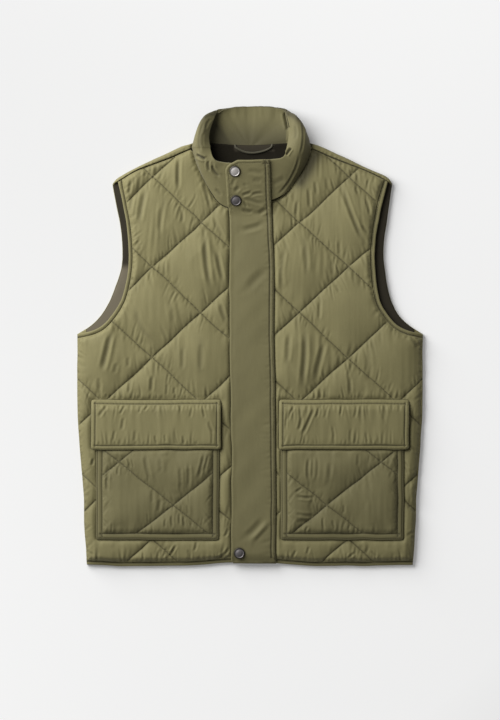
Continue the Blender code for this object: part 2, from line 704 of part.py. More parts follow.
def build_collar(finish, group):
    """Padded band, lofted through the sections from the neck seam to its top edge."""
    seam, middle, top = np.split(COLLAR_SECTIONS, 3, axis=1)
    rows = [seam * (1 - h) * (1 - 2 * h) + middle * 4 * h * (1 - h) + top * h * (2 * h - 1)
            for h in np.linspace(0, 1, COLLAR_ROWS)]
    count = len(seam)
    faces = [[r * count + i, r * count + i + 1, (r + 1) * count + i + 1, (r + 1) * count + i]
             for r in range(COLLAR_ROWS - 1) for i in range(count - 1)]
    thing = add_mesh("collar", np.vstack(rows).tolist(), faces, finish, group)
    wall = thing.modifiers.new("wall", "SOLIDIFY")
    wall.thickness = COLLAR_WALL * MM
    wall.offset = 0.0
    wall.use_even_offset = True


def build_hanger(finish, group):
    """Rolled loop along a smooth path, with closed ends."""
    curve = bpy.data.curves.new("hanger_loop", "CURVE")
    curve.dimensions = "3D"
    curve.bevel_depth = LOOP_RADIUS * MM
    curve.bevel_resolution = 2
    curve.use_fill_caps = True
    path = spline(HANGER, 3) * MM
    line = curve.splines.new("POLY")
    line.points.add(len(path) - 1)
    for point, spot in zip(line.points, path):
        point.co = (*spot, 1.0)
    curve.materials.append(finish)
    group.objects.link(bpy.data.objects.new("hanger_loop", curve))


def build_snap(name, spot, finish, group):
    """Turned cap, set on the placket's slope."""
    mesh = bpy.data.meshes.new(name)
    points = [(r * MM, 0.0, z * MM) for r, z in SNAP_PROFILE]
    mesh.from_pydata(points, [(i, i + 1) for i in range(len(points) - 1)], [])
    mesh.materials.append(finish)
    thing = bpy.data.objects.new(name, mesh)
    height = placket_top(np.array([spot]))[0] + CUT_GAP
    thing.location = Vector((*spot, height)) * MM
    thing.rotation_euler.x = math.atan(FRONT_SLOPE) if spot[1] > FRONT_RISE_AT[0] else 0.0
    turned = thing.modifiers.new("turned", "SCREW")
    turned.steps = turned.render_steps = SNAP_STEPS
    turned.use_merge_vertices = True
    turned.merge_threshold = 0.01 * MM
    group.objects.link(thing)


def build_vest():
    clear_scene()
    group = collection("vest")
    olive = material("olive cloth", (0.165, 0.145, 0.075), 0.85)
    dark = material("dark lining", (0.03, 0.026, 0.022), 0.8)
    metal = material("gunmetal", (0.25, 0.25, 0.25), 0.35, 1.0)
    build_back(olive, group)
    build_lining(dark, group)
    for name, side in (("right", -1), ("left", 1)):
        build_front(name, side, olive, group)
        arm = both(in_band(FRONT_ARM_LINE), beyond(HEM_LINE, BAND))
        build_band("armhole_binding_" + name, FRONT_ARM_LINE, side, arm, olive, group)
        build_band("hem_band_" + name, HEM_LINE, side, in_band(HEM_LINE), olive, group)
        build_pocket(name, side, olive, group)
        build_flap(name, side, olive, group)
    build_collar(olive, group)
    build_placket(olive, group)
    build_hanger(dark, group)
    for name, spot in SNAPS.items():
        build_snap(name, spot, metal, group)


build_vest()
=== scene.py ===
"""Looks of a quilted vest that lies on its back: fine cloth, sewing, press studs, light and camera.

Tables and heights are in millimetres, in the frame's axes, and are scaled when a mesh is made.
Right and left in the names are the wearer's, and the wearer's right is at -X.
A ramp is given by where it starts and how far it runs, with a minus where it runs the other way.
"""
import math
from collections import namedtuple

import bmesh
import bpy
import numpy as np
from mathutils import Matrix, Vector
from mathutils.bvhtree import BVHTree
from mathutils.geometry import delaunay_2d_cdt
from mathutils.kdtree import KDTree


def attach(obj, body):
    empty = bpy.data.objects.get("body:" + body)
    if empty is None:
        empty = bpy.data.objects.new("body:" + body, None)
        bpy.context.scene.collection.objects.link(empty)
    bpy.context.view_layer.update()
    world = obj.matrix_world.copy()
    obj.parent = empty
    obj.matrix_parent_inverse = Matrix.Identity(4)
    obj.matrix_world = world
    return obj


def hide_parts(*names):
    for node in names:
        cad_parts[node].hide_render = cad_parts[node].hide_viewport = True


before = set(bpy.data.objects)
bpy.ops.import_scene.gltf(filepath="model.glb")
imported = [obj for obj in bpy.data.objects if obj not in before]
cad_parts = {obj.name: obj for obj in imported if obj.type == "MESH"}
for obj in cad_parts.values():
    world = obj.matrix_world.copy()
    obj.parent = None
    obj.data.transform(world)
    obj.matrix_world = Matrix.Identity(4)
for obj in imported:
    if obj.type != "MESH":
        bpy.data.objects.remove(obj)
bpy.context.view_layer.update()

MM = 0.001

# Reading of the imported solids: points merged, least Z of an upper face's normal, where rays start,
# and the level that a face is sought from where a ray misses
MERGED = 0.01
UPPER_FACE = 0.05
RAY_START = 200.0
FACE_LEVEL = 15.0

# Sharp point of a ring: seen over so many points, past this cosine, and moved in by this share
POINT_SPAN = 4
POINT_COSINE = -0.15
POINT_SHARE = 0.55

# Walls of the padded pieces
SEWN_EDGE = 2.6
QUILT_PINCH = 4.4
FRONT_LOFT = 8.2
UNDER_PLACKET = 4.0
UNDER_POCKET = 5.0
POCKET_HEM = 3.0
POCKET_LOFT = 7.6
UNDER_FLAP = 3.2
LEAST_WALL = 1.0

# Widths over which padding gains its height
EDGE_ROUND = 7.5
PUFF_RAMP = 9.0
PUFF_BY_PLACKET = 6.0
POCKET_RAMP = 9.0
FLAP_RAMP = 7.0
QUILT_RAMP = 5.0

# A front's edge counts as sewn only this far from the placket
BY_PLACKET = 2.0

# Widths over which creases and puckers gain their depth: from an edge, from a piece that lies on top
RELIEF_EDGE = 3.0
RELIEF_COVER = 5.0
RELIEF_FLAP = 4.0
RELIEF_LINING = 4.0
RELIEF_BAND = 2.0
RELIEF_PLACKET = (3.0, 6.0)

# Rolled edges: height, distance in from the edge, half width; the pocket's lies between its two rows
FLAP_ROLL = (0.8, 3.4, 2.0)
PLACKET_ROLL = (0.5, 2.4, 1.6)
POCKET_ROLL = (0.6, 1.9)

# Puff of a flap within its stitches: height, and width over which it is gained
FLAP_PUFF = (0.9, 12.0)

# Diamond quilting: a crossing's x and y, half a diamond's width and height
BODY_QUILT = (0.0, 254.4, 78.4, 72.3)
POCKET_QUILT = (123.2, -270.4, 86.4, 69.6)

# Quilt lines: first and last of them, the box they run over, how far and in what waves they stray
QUILT_SPAN = (-6, 9)
QUILT_BOX = (-20.0, 300.0, -380.0, 310.0)
QUILT_WANDER = 0.7
QUILT_WAVES = (23.0, 9.0)
QUILT_SEEDS = {"front": 11, "pocket": 21}

# Stitched grooves and the ditches beside seams: width, depth, and the shade painted there
GROOVE_WIDTH = 0.8
GROOVE_DEPTH = 1.1
GROOVE_SHADE = 0.8
GROOVE_SHARE = 0.85
DITCH_WIDTH = 1.4
DITCH_SHARE = 0.62
TRIM_SHADE = 1.1
STUD_SHADE = 1.2

# Depths of the other grooves, and the widths of the last two
POCKET_GROOVE = 0.8
FLAP_GROOVE = 1.0
PLACKET_GROOVE = 1.3
PLACKET_CORNER_GROOVE = 0.35
PLACKET_SIDE_GROOVE = 0.7
BAND_GROOVE = (0.5, 0.9)
SHOULDER_GROOVE = (0.7, 1.2)

# Sideways settling of the upper body as it lies: over |x|, and up from a height
SETTLE_X = (76.0, 90.0, 110.0, 160.0, 198.0, 212.0, 224.0)
SETTLE_BY = (0.0, 2.5, 2.0, 1.0, 3.0, 5.2, 3.9)
SETTLE_FROM = 40.0
SETTLE_OVER = 80.0

# Streaks of the fronts run together higher up: about this x, how fast, and between which heights
FAN_MIDDLE = 120.0
FAN_RATE = 0.003
FAN_FROM = 60.0
FAN_OVER = 250.0

# Folds lean in towards the neck: how far at which x, and the heights over which they gain it
LEAN_MOST = -0.32
LEAN_X = 200.0
LEAN_FROM = -20.0
LEAN_OVER = 180.0

# Stitch rows, as distances in from a piece's edge
POCKET_ROWS = (2.0, 9.8)
FLAP_ROW = 6.6
PLACKET_ROW = 7.0
PLACKET_CORNER_ROW = 5.0
PLACKET_SIDE_ROW = 1.8
BAND_ROW = 1.5

# Puckers start within these distances: of a flap's own rows, of its top on the front, and of the hem
FLAP_EDGE = 2.0
FLAP_TOP_EDGE = 4.0
HEM_EDGE = 6.0

# Where rows run: on the placket past an x and above its foot, in its corner below an x and above a y,
# and on a band this near to its panel's edge
PLACKET_SEWN_X = 21.0
PLACKET_SEWN_FOOT = 9.0
PLACKET_SIDE_X = 20.0
PLACKET_CORNER = (18.0, 200.0)
BAND_REACH = 3.0

# Mesh sizes: along an edge, over cloth that shows and that doesn't, and on an underside
RING_STEP = 2.0
FINE_STEP = 1.65
TRIM_STEP = 1.45
LINING_STEP = 4.0
BACK_STEP = 5.0
HIDDEN_STEP = 9.0
UNDER_STEP = 26.0
LINE_STEP = 2.0
LINE_DENSE = 0.4
LINE_SIDES = (-3.0, -1.7, -0.7, 0.0, 0.7, 1.7, 3.0)
HIDDEN_MARGIN = 10.0

# Rows of points inside an edge, the least gap between rows, from the edge, and of the grid in steps
EDGE_GUIDES = (2.2, 3.8)
ROWS_APART = 0.55
ROWS_FROM_EDGE = 0.7
GRID_APART = 0.6

# Triangles: those within a ring alone, and the gap below which two points are one
RING_ALONE = 1
POINT_GAP = 1e-5

# Buckling of padded faces: cut this much wider and longer than they lie, mesh size, scale and steps
CUT_WIDER = 0.08
CUT_LONGER = 0.012
BUCKLE_STEP = 4.4
BUCKLE_SCALE = 0.01
BUCKLE_FRAMES = 18
BUCKLE_CAP = 3.4

# Its rows end this far from the rim, and it is held this near to a seam or to a piece on top
BUCKLE_RIM = 1.5
HELD_BY_SEAM = 0.8
HELD_BY_COVER = 1.0

# Its cloth
BUCKLE_CLOTH = {"quality": 5, "mass": 0.2, "tension_stiffness": 20.0, "compression_stiffness": 20.0,
                "shear_stiffness": 8.0, "bending_stiffness": 0.15, "air_damping": 3.0,
                "use_pressure": True, "uniform_pressure_force": 0.6}

# Unsteadiness of all edges and seams: how far, over what length, and its seed
WANDER = 0.7
WANDER_LENGTH = 26.0
WANDER_SEED = 5

# Rounded edge of a cut piece, from its underside up: distance in, share of the wall's height
EDGE_ROWS = ((0.6, 0.0), (0.1, 0.3), (0.0, 0.55), (0.25, 0.83), (1.0, 1.0))

# Soft uneven heights: depth, a cell's width and height, seed, lean
Waves = namedtuple("Waves", "depth wide tall seed lean", defaults=(0.0,))
WAVE_CELLS = 97
WAVE_SHIFT = 40
FRONT_WAVES = (Waves(0.7, 15.0, 62.0, 71), Waves(0.7, 34.0, 90.0, 81))
FRONT_STREAKS = (Waves(0.55, 6.5, 55.0, 91),)
POCKET_WAVES = (Waves(0.6, 15.0, 60.0, 171), Waves(0.6, 32.0, 80.0, 181), Waves(0.55, 6.5, 55.0, 191))
FLAP_WAVES = (Waves(0.45, 6.5, 55.0, 281), Waves(0.5, 15.0, 46.0, 261), Waves(0.5, 40.0, 60.0, 271))
PLACKET_WAVES = (Waves(0.5, 24.0, 42.0, 351, 0.5), Waves(0.6, 38.0, 110.0, 361))
BAND_WAVES = (Waves(0.16, 5.0, 5.0, 0), Waves(0.2, 14.0, 11.0, 1))
BACK_WAVES = (Waves(0.3, 16.0, 30.0, 451),)
LINING_WAVES = (Waves(0.5, 22.0, 40.0, 541, 0.4), Waves(0.4, 11.0, 26.0, 551, -0.5))
COLLAR_WAVES = (Waves(0.4, 12.0, 30.0, 641), Waves(0.3, 30.0, 40.0, 651))
COLLAR_TOP_WAVES = (Waves(0.4, 4.5, 40.0, 661),)
BINDING_SEED = 741
HEM_SEED = 751
BACK_HEM_SEED = 761

# Short folds out of a stitch line: seed, spacing, least and most length, half width and depth,
# the sides they run to, and how upright they are
Puckers = namedtuple("Puckers", "seed spacing length width depth sides upright", defaults=((1, -1), 0.75))
FRONT_QUILT_PUCKERS = Puckers(41, 9.0, (10.0, 40.0), (1.3, 2.7), (0.3, 0.95))
FRONT_SEAM_PUCKERS = Puckers(51, 7.0, (10.0, 40.0), (1.3, 2.7), (0.5, 1.3))
FRONT_EDGE_PUCKERS = Puckers(61, 9.0, (8.0, 26.0), (1.6, 3.0), (0.4, 1.0), (1,), 0.45)
POCKET_QUILT_PUCKERS = Puckers(141, 8.0, (8.0, 32.0), (1.3, 2.5), (0.25, 0.8))
POCKET_HEM_PUCKERS = Puckers(151, 8.0, (9.0, 34.0), (1.3, 2.5), (0.3, 0.9), (1,), 0.6)
FLAP_TOP_PUCKERS = Puckers(241, 5.0, (11.0, 44.0), (1.3, 2.5), (0.4, 1.1))
FLAP_FOOT_PUCKERS = Puckers(251, 6.0, (9.0, 36.0), (1.3, 2.5), (0.35, 0.95))
PLACKET_PUCKERS = Puckers(341, 13.0, (8.0, 26.0), (1.8, 3.2), (0.1, 0.35), (1, -1), 0.2)
SHOULDER_PUCKERS = Puckers(441, 8.0, (6.0, 14.0), (1.4, 2.6), (0.2, 0.6), (1, -1), 0.4)

# All of them: share left out, tilt, bend, share in which they start and fade, unevenness of spacing
PUCKER_SKIP = 0.25
PUCKER_TILT = 0.5
PUCKER_BEND = 0.12
PUCKER_START = 0.14
PUCKER_FADE = (0.2, 0.8)
PUCKER_UNEVEN = (0.5, 1.6)

# Section of a crease: how many half widths it reaches, and the ridges beside it: share, place, width
CREASE_REACH = 3
RIDGE_SHARE = 0.42
RIDGE_AWAY = 1.75
RIDGE_WIDTH = 0.75

# All creases of flat pieces: gain of depth, share of width, painted shade in their bottoms, its sharpness,
# fading share at ends
CREASE_GAIN = 1.25
CREASE_THIN = 0.78
CREASE_SHADE = 0.26
CREASE_DARK = 1.3
CREASE_ENDS = 0.3

# Creases, given one by one: start x y, middle x y, end x y, half width, depth (less than nothing: a ridge)
RIGHT_FRONT_CREASES = (
    (-113.7, 288, -114.2, 260, -115.2, 232, 3.8, 1.5),
    (-166, 239, -172.5, 208, -178, 174, 4.5, 1.3),
    (-135.5, 229, -142, 194, -147, 158, 4.6, 0.9),
    (-108.7, 206, -108, 193, -109.4, 179, 3.2, 0.9),
    (-75.5, 252, -68.6, 225.5, -62.5, 201, 3.4, 1.2),
    (-59.9, 192.5, -51.2, 173.4, -40.8, 149, 3.6, 0.9),
    (-73, 166, -69.5, 114, -60.8, 70.7, 5, 1.8),
    (-53.8, 140, -48, 112, -41.6, 83, 4, 1.4),
    (-186.8, 225, -190, 211, -192.6, 196, 3.2, 1.1),
    (-188.5, 252, -191.5, 238, -193.8, 225, 3.2, 1),
    (-184, 256, -185, 249, -185.6, 240.8, 2.5, 0.7),
    (-175, 265, -176, 261, -177, 256, 2.5, 0.7),
    (-166, 266, -167.5, 260, -169, 254, 2.5, 0.8),
    (-177, 154, -181, 148, -185.6, 142, 3, 0.8),
    (-175, 149, -176, 142, -177, 135, 3, 0.7),
    (-137, 122.7, -137.5, 110, -137, 96.8, 3, 0.8),
    (-218.5, 13.6, -229, -25, -238, -61, 5, 1.8),
    (-184, 53.6, -177, 19, -149, -12.3, 6, 0.9),
    (-131.8, 62.4, -125, 38, -121.6, 16, 5, 0.7),
    (-107.7, -16, -108, -38, -109.3, -59, 4, 0.8),
    (-139, -25.6, -140, -36, -141, -46, 3, 0.7),
    (-156, -61, -157.5, -76, -158, -92, 3.5, 1.3),
    (-190.9, -67, -193, -80, -194.4, -94, 3, 1.1),
    (-76.8, 2, -79, -32, -80, -67, 8, 1.1),
    (-48.6, 53.6, -43, 37, -36.8, 19, 4, 1.2),
    (-213, -41.6, -215, -52, -217, -61, 4, 0.8),
    (-194, -33, -194.5, -42, -194.4, -50.6, 3.5, 0.7),
    (-243, -64, -242, -76, -241, -88.6, 4, 0.8),
    (-230.7, -92, -230, -96, -229.5, -99, 2.5, 0.8),
    (-131.8, -74.7, -133, -86, -133.6, -97, 2.5, 0.7),
    (-120.6, -81.6, -121, -88, -121.6, -94, 2.5, 0.9),
    (-132.8, -336, -136.5, -347, -140.6, -357, 2.2, 1),
    (-117.3, -332, -124, -344, -131, -355, 2.4, 1.3),
    (-123, -333, -128.5, -345, -134.5, -356, 2, -0.9),
    (-146, -342, -147, -350, -148.5, -357, 2.2, 0.9),
    (-171.7, -345, -171, -352, -168.8, -359, 2.4, 0.9),
    (-86.2, -326.9, -87, -336, -90.2, -345, 2.6, 1),
    (-34, -306, -36, -314, -41, -322, 2.6, 1.2),
    (-32, -335, -39, -348, -57, -357, 3, 1.4),
    (-250, -195, -251.5, -201, -253, -208, 2.6, 1.6),
    (-100, -340, -97, -349, -93, -357, 3, 0.7),
)
LEFT_FRONT_CREASES = (
    (145.8, 246.3, 158, 204.6, 187, 143, 4, 1.7),
    (93.8, 239, 95, 221, 95.5, 202.6, 3.4, 1.1),
    (185.6, 221.6, 189, 207, 192.6, 192, 3, 1.2),
    (83.3, 165, 89.5, 130, 91, 90, 4.6, 1),
    (57.3, 147, 50.4, 105.6, 53.9, 67, 4.5, 1.2),
    (104, 250, 105.5, 238, 107.6, 225, 3.2, 0.9),
    (171.8, 263.4, 172.5, 251, 173.6, 239, 2.5, 0.9),
    (190.9, 252.8, 187.5, 241, 187.5, 230, 2.5, 0.8),
    (74.7, 218, 74, 205, 73, 190, 3.2, 0.9),
    (121.5, 256.7, 123, 244, 125, 231, 3.4, 0.6),
    (142.3, 154.3, 143, 140, 144, 125, 3.2, 0.8),
    (178.7, 177, 184, 170.5, 189, 162.5, 2.8, 0.8),
    (168.3, 239.4, 170.5, 232.5, 173.6, 225, 2.8, 0.8),
    (62.4, 8.5, 61, -21, 57.4, -50.6, 4.5, 1.3),
    (86.9, 19, 88.6, -19, 80, -94, 5, 1.7),
    (120, -5.4, 111, -40, 104, -76.5, 5, 1.5),
    (112, 59, 111, 42, 109.4, 22, 3, 0.8),
    (137, 83, 140, 76, 144, 69, 3, 0.7),
    (157.9, -60.8, 160, -78, 159.7, -97, 3.5, 1),
    (109.4, -81.6, 112, -92, 114.6, -102, 3, 1),
    (253.4, 3.2, 262, -7, 270.4, -19, 3.5, 1),
    (187.2, -16, 190, -46, 192, -76.8, 6, 0.8),
    (132, 127, 132.6, 111, 133.8, 93, 3.4, 0.9),
    (170, -36.8, 172, -43, 173.6, -48.8, 3, 0.6),
    (73.7, -342, 71, -348, 67, -355, 2.4, 0.9),
    (95, -336, 93, -343, 90.5, -350, 2.6, 0.9),
    (168.7, -345, 162, -351, 154, -358, 2.6, 0.9),
    (193.9, -343, 198, -349, 203, -354, 2.4, 0.8),
    (246.5, -199, 250, -205, 255, -211, 2, 0.9),
    (246.5, -207, 250, -214, 254, -222, 2, 0.9),
    (257, -176, 262, -181, 266, -186, 2.2, 0.8),
)
PLACKET_CREASES = (
    (-13.5, 203, -3, 198.8, 6, 198.8, 3.4, 1.2),
    (13, 195, 20, 199, 28, 205, 4, 1),
    (-13, 169.5, 5, 173, 22, 179, 5, 0.8),
    (24, 104, 10, 92, -5, 75, 7.5, 0.45),
    (20, -294, 6, -309, -8, -322, 5.5, 0.55),
    (30, -297, 16, -312, 1, -328, 4.5, -0.7),
    (-10.2, 216, -6.8, 210.6, -4, 205, 2.4, 1),
    (-14.1, 224.4, -5.5, 227.2, 4, 230.6, 3, 1.2),
    (-0.5, 223.6, 8.4, 227.5, 23, 227, 2.8, 1),
    (-12.1, 220, 5.1, 215.3, 22, 209.5, 3.4, 0.9),
    (-25.6, 230.4, -21.4, 234.5, -16.6, 238.8, 3.6, 1),
    (-29.4, 239.2, -26.8, 246.5, -23.4, 252, 3.2, 0.6),
    (-10.8, 243.4, -8, 241.5, -4.6, 239, 3.4, 0.6),
    (-4.8, 263.7, 6, 262.2, 22.6, 257.6, 4.4, 0.6),
    (3.6, 249.2, 11, 247.8, 19, 245.6, 4.4, 0.6),
)
RIGHT_POCKET_CREASES = (
    (-167.7, -187, -164, -212, -156, -238, 4, 1),
    (-111.5, -205, -110, -228, -110.6, -252, 3.5, 0.9),
    (-97.9, -200, -97, -224, -98.9, -247, 3, 0.9),
    (-72.8, -186, -77, -208, -84.3, -230, 3.2, 1.3),
    (-66, -188, -70, -204, -75, -220, 2.6, 0.9),
    (-226, -217, -228, -233, -227, -250, 3, 1.4),
    (-210.4, -206, -211.5, -214, -210.4, -224, 2.4, 1.3),
    (-196.8, -195, -193.5, -203, -191, -211, 2.2, 0.9),
    (-190, -196, -188, -206, -187, -214, 2, 0.6),
    (-145.4, -190, -143, -205, -144, -222, 4, 0.7),
    (-143.5, -259, -145, -271, -147.4, -283, 3.5, 0.9),
    (-155, -250, -155, -258, -156, -268, 3, 0.6),
    (-134.7, -291, -135.5, -299, -134.7, -307, 2.2, 0.9),
    (-125, -285, -125, -296, -123.2, -307, 2.4, 1.1),
    (-112.5, -280, -113, -291, -111.5, -303, 2.4, 1.1),
    (-107, -287, -106, -296, -103.7, -306, 2.2, 0.9),
    (-96, -292, -95, -299, -93, -305, 2.2, 0.6),
    (-101, -268, -99, -278, -97, -286, 2.6, 0.6),
)
LEFT_POCKET_CREASES = (
    (74, -256, 88, -259, 102, -258.5, 3, 1.3),
    (71.7, -251, 78, -247, 86, -241, 2.6, 0.9),
    (70, -282, 88, -286.5, 104, -286, 3.2, 0.9),
    (72, -298, 88, -296, 100, -300, 4, 0.7),
    (95, -192, 92, -214, 95, -236, 3, 1.2),
    (103, -188, 104, -212, 100, -236, 3.2, -0.9),
    (128, -196, 126, -222, 120, -246, 4.5, 0.8),
    (172.6, -187, 173, -198, 172, -210, 3, 0.5),
    (116.3, -288, 116.5, -300, 118.2, -313, 2.2, 1),
    (93, -303, 91, -308, 88, -312, 2.2, 0.8),
    (131.8, -293, 133, -302, 136, -311, 2.4, 0.8),
    (149.3, -268, 150, -276, 149, -285, 2.6, 0.8),
    (190, -230, 189, -250, 190, -270, 4.5, 0.5),
    (160, -300, 158, -306, 157, -311, 2.2, 0.5),
)
RIGHT_FLAP_CREASES = (
    (-228, -110, -235, -119, -243, -131, 3, 1),
    (-199.7, -110, -204, -118, -207.5, -126, 2.4, 1),
    (-201.8, -129, -203, -140, -204.6, -152, 3, 0.9),
    (-173.6, -110, -175, -116, -176.5, -124, 2.2, 0.9),
    (-161, -109, -165, -114, -169, -120, 2.2, 1),
    (-150, -109, -152, -116, -152.5, -123, 2.4, 0.6),
    (-113.4, -108, -111.5, -114, -109.6, -120, 2.2, 0.8),
    (-92.2, -112, -94, -122, -96, -132, 2.4, 0.7),
    (-76.6, -117, -74, -124, -72.8, -132, 2.4, 0.8),
    (-66.9, -135, -63, -146, -57.3, -157, 3, 0.9),
    (-152.3, -158, -151, -166, -149.3, -173, 2.4, 0.9),
    (-136.8, -157, -135.5, -164, -134.7, -171, 2.4, 0.7),
    (-107.7, -159, -106, -166, -104.8, -173, 2.4, 0.7),
    (-215.2, -150, -217, -160, -218.2, -169, 2.6, 0.7),
    (-184, -150, -184, -160, -186, -170, 3, 0.6),
)
LEFT_FLAP_CREASES = (
    (71.7, -111, 64, -124, 60, -138, 2.4, 1),
    (83.4, -126, 81, -140, 76.6, -153, 3, 1.2),
    (103.8, -112, 93, -138, 81.4, -162, 3, 1.3),
    (110.5, -111, 108.5, -122, 105.7, -132, 2.4, 0.9),
    (79.5, -112, 81, -124, 81.4, -134, 2.4, 0.8),
    (62, -116, 58.5, -130, 57.5, -152, 2.2, 0.9),
    (124, -111, 121, -124, 119, -134, 2.6, 0.6),
    (146, -110, 145, -119, 144, -128, 2.2, 0.7),
    (170, -110, 169, -122, 166, -132, 2.6, 0.6),
    (134, -168, 133, -155, 131, -142, 2.6, 0.6),
    (160, -171, 161, -158, 162, -146, 2.6, 0.5),
    (186, -152, 187, -162, 188, -172, 2.6, 0.6),
    (214, -112, 213, -124, 215, -136, 3, 0.5),
)
COLLAR_CREASES = (
    (82.5, 345, 85, 318, 79, 286, 1.8, 0.9),
    (79, 290, 68, 256, 43, 224, 1.9, 1.1),
    (54.4, 358.5, 58, 343, 61.4, 329, 2.2, 3.2),
    (-66, 279.5, -66.5, 271, -64, 262, 2.2, 1.6),
    (-61, 272.5, -56.5, 262, -48, 254, 2.6, 1.8),
    (-56, 234.4, -50, 229, -45.8, 224, 3, 0.8),
    (35.8, 242.6, 46, 247, 56, 252.8, 4, 0.7),
    (57.5, 287.5, 61, 293, 66, 299.5, 2, 3),
    (-86.5, 289, -79, 284.5, -70, 281.5, 2.2, 3.4),
    (-79.5, 291, -80, 318, -73, 342, 2.6, 1),
    (-75, 300, -76, 312, -74, 324, 2, 0.6),
    (-71, 329, -68, 338, -62, 347, 2, 0.7),
    (72, 312, 73, 324, 71, 337, 2.4, 0.6),
)

# Shoulder seam of one side, and the |x| and y that the fronts' own shoulder edges lie beyond
SHOULDER_SEAM = ((97.0, 299.4), (122.0, 289.2), (148.0, 278.5))
SHOULDER_EDGE = (102.0, 244.0)

# Shoulder roll: the |x| and y that it lies beyond, and its middle's distance in from the fold
ROLL_FROM = (94.0, 240.0)
ROLL_MIDDLE = 4.5

# Neck edges of lining and shoulder rolls: how far they reach under the collar, from which y,
# and the ramps over |x| and y in which they do
NECK_REACH = 5.0
NECK_FROM = 297.0
LINING_TUCK = (92.0, -12.0)
ROLL_TUCK_OUT = (110.0, -9.0)
ROLL_TUCK_IN = (66.0, 20.0)
ROLL_TUCK_UP = (NECK_FROM, 4.0)

# How far the placket's top and its free corner lie lower, and the ramps over y and x in which they do
PLACKET_DROP = (1.8, 3.0)
PLACKET_TOP = (262.0, 12.0)
PLACKET_FREE = (-18.0, -12.0)

# Width and share of the shade painted along the placket's inner row
PLACKET_ROW_SHADE = (1.3, 0.8)

# Painted light on the lining in the right armhole, where light reaches its lower part: within this x, its
# ramp over y and its share
LIT_LINING_X = -150.0
LIT_LINING_UP = (118.0, -14.0)
LIT_LINING_SHARE = 0.7

# Lining further out than this shows in the armholes, and is painted less dark there, as light reaches it,
# than in the shaded neck
ARMHOLE_LINING = 140.0
ARMHOLE_SHARE = 0.125

# Lining behind the hanger loop: between these x, its ramp over y and its share
LOOP_ENDS = (-26.0, 38.0)
LOOP_UP = (294.0, 4.0)
LOOP_SHARE = 0.16

# Painted shadow of the collar on the left front, beside the collar's seam: its line, half width and share
COLLAR_SHADOW_LINE = ((106.0, 291.0), (99.0, 280.0), (91.0, 264.0), (80.0, 247.0))
COLLAR_SHADOW_SPREAD = (11.5, 0.96)

# Collar: sharpness of its sewn and turned edges, from 0 to 1, and from what fold they count
COLLAR_EDGE = 0.7
COLLAR_FOLD = math.radians(50)

# Its waves run round this y at this radius, and up z plus y over this; ramp over y of those on its top
COLLAR_MIDDLE = 300.0
COLLAR_RADIUS = 80.0
COLLAR_CLIMB = 4
COLLAR_TOP = (338.0, 16.0)

# It is left as packed under the placket: this far beyond the placket's edge, below this y
COLLAR_KEPT = -4.0
COLLAR_KEPT_Y = 292.0

# Its creases: fading share at their ends, least Z of a creased face's normal, painted shade and its
# sharpness
COLLAR_ENDS = 0.2
COLLAR_FACE = 0.15
COLLAR_TONE = 0.45
COLLAR_DARK = 1.6

# Painted shade inside the collar: at its rim and at the seam, ramp over y, within |x|, above y, least Z
NECK_TONE = (0.0, 0.78)
NECK_TONE_UP = (356.0, -50.0)
NECK_TONE_X = 58.0
NECK_TONE_Y = 295.0
NECK_FACE = 0.1

# Painted shadow in the corner inside the collar on the right: its edge's x at two y, how soft, its share,
# below this z, beyond this x and y
NECK_CORNER_Y = (306.0, 345.0)
NECK_CORNER_X = (-13.0, -43.0)
NECK_CORNER_SOFT = 19.0
NECK_CORNER_SHARE = 0.97
NECK_CORNER_LEVEL = 16.0
NECK_CORNER_FROM = (-70.0, 290.0)

# Painted shade along the collar's top edge, where it turns away: ramp as it turns away and its share,
# width and share of a line, the columns that the line is found in, and the ramp over y of both
RIM_TURN = (0.02, 0.3)
RIM_SHARE = 0.92
RIM_LINE = (1.7, 0.8)
RIM_COLUMN = 2.5
RIM_UP = (325.0, 26.0)

# Painted shade in the hollow along the collar's right side: a stroke like a crease, half width and share
COLLAR_HOLLOW = ((-69.8, 352.0), (-77.0, 323.0), (-80.0, 295.0), 5.0, 0.45)

# Hanger loop along the back neck: its path, half width and height, bulge, and pieces along and round it
HANGER = ((-23.5, 307.0, 7.2), (-21.5, 301.2, 9.0), (-9.0, 295.0, 9.1), (6.0, 293.4, 9.1),
          (22.0, 296.2, 9.1), (33.5, 301.6, 9.0), (36.0, 307.0, 7.2))
HANGER_SECTION = (1.5, 1.1)
HANGER_BULGE = 0.12
HANGER_PIECES = 10
HANGER_SIDES = 14

# Press-stud cap: radius and height of its wall, then inset and rise of each step of its face
STUD_RADIUS = 8.6
STUD_WALL = 1.5
STUD_FACE = ((0.8, 0.6), (0.7, 0.0), (0.6, -0.45), (0.6, 0.0), (1.4, 0.55), (2.0, 0.3), (1.6, 0.1))

# Z of the normals of its face, at least, and of its flat back, at most
STUD_TOP = 0.9
STUD_BACK = -0.95

# Painted shade on its rolled rim: between which radii, and its colour
STUD_RIM = (6.9, 7.6)
STUD_RIM_SHADE_COLOUR = (0.035, 0.032, 0.026)

# Thread: a stitch's length and pitch, its rings as share along and of radius, how far it stands out
STITCH = 2.7
STITCH_PITCH = 3.7
STITCH_RINGS = ((-0.38, 0.8), (0.0, 1.0), (0.38, 0.8))
STITCH_TIPS = (-0.5, 0.5)
STITCH_OUT = 0.25
THREAD_RADIUS = 0.36
THREAD_SIDES = 5

# Cloth: scale of its mottling and slubs, what each adds to the colour and what is taken off, the share
# of its painted shade and light, what weave and slubs add to the height, the bump, and unevenness of its
# roughness
MOTTLE = 26.0
SLUBS = 420.0
SLUB_STRETCH = (1.0, 0.12, 1.0)
MOTTLE_MIX = (0.7, 0.5, 0.1)
PAINTED_TONE_SHARE = 0.85
WEAVE_MIX = (0.6, 0.8)
WEAVE_BUMP = (0.35, 0.16)
CLOTH_ROUGH = 0.12

# Scale of a wave texture whose waves are a millimetre wide
WAVE_PITCH = 314.0

# Colour of the shade painted into the shell's stitch grooves, seam ditches and creases
PAINTED_SHADE_COLOUR = (0.03, 0.026, 0.011)

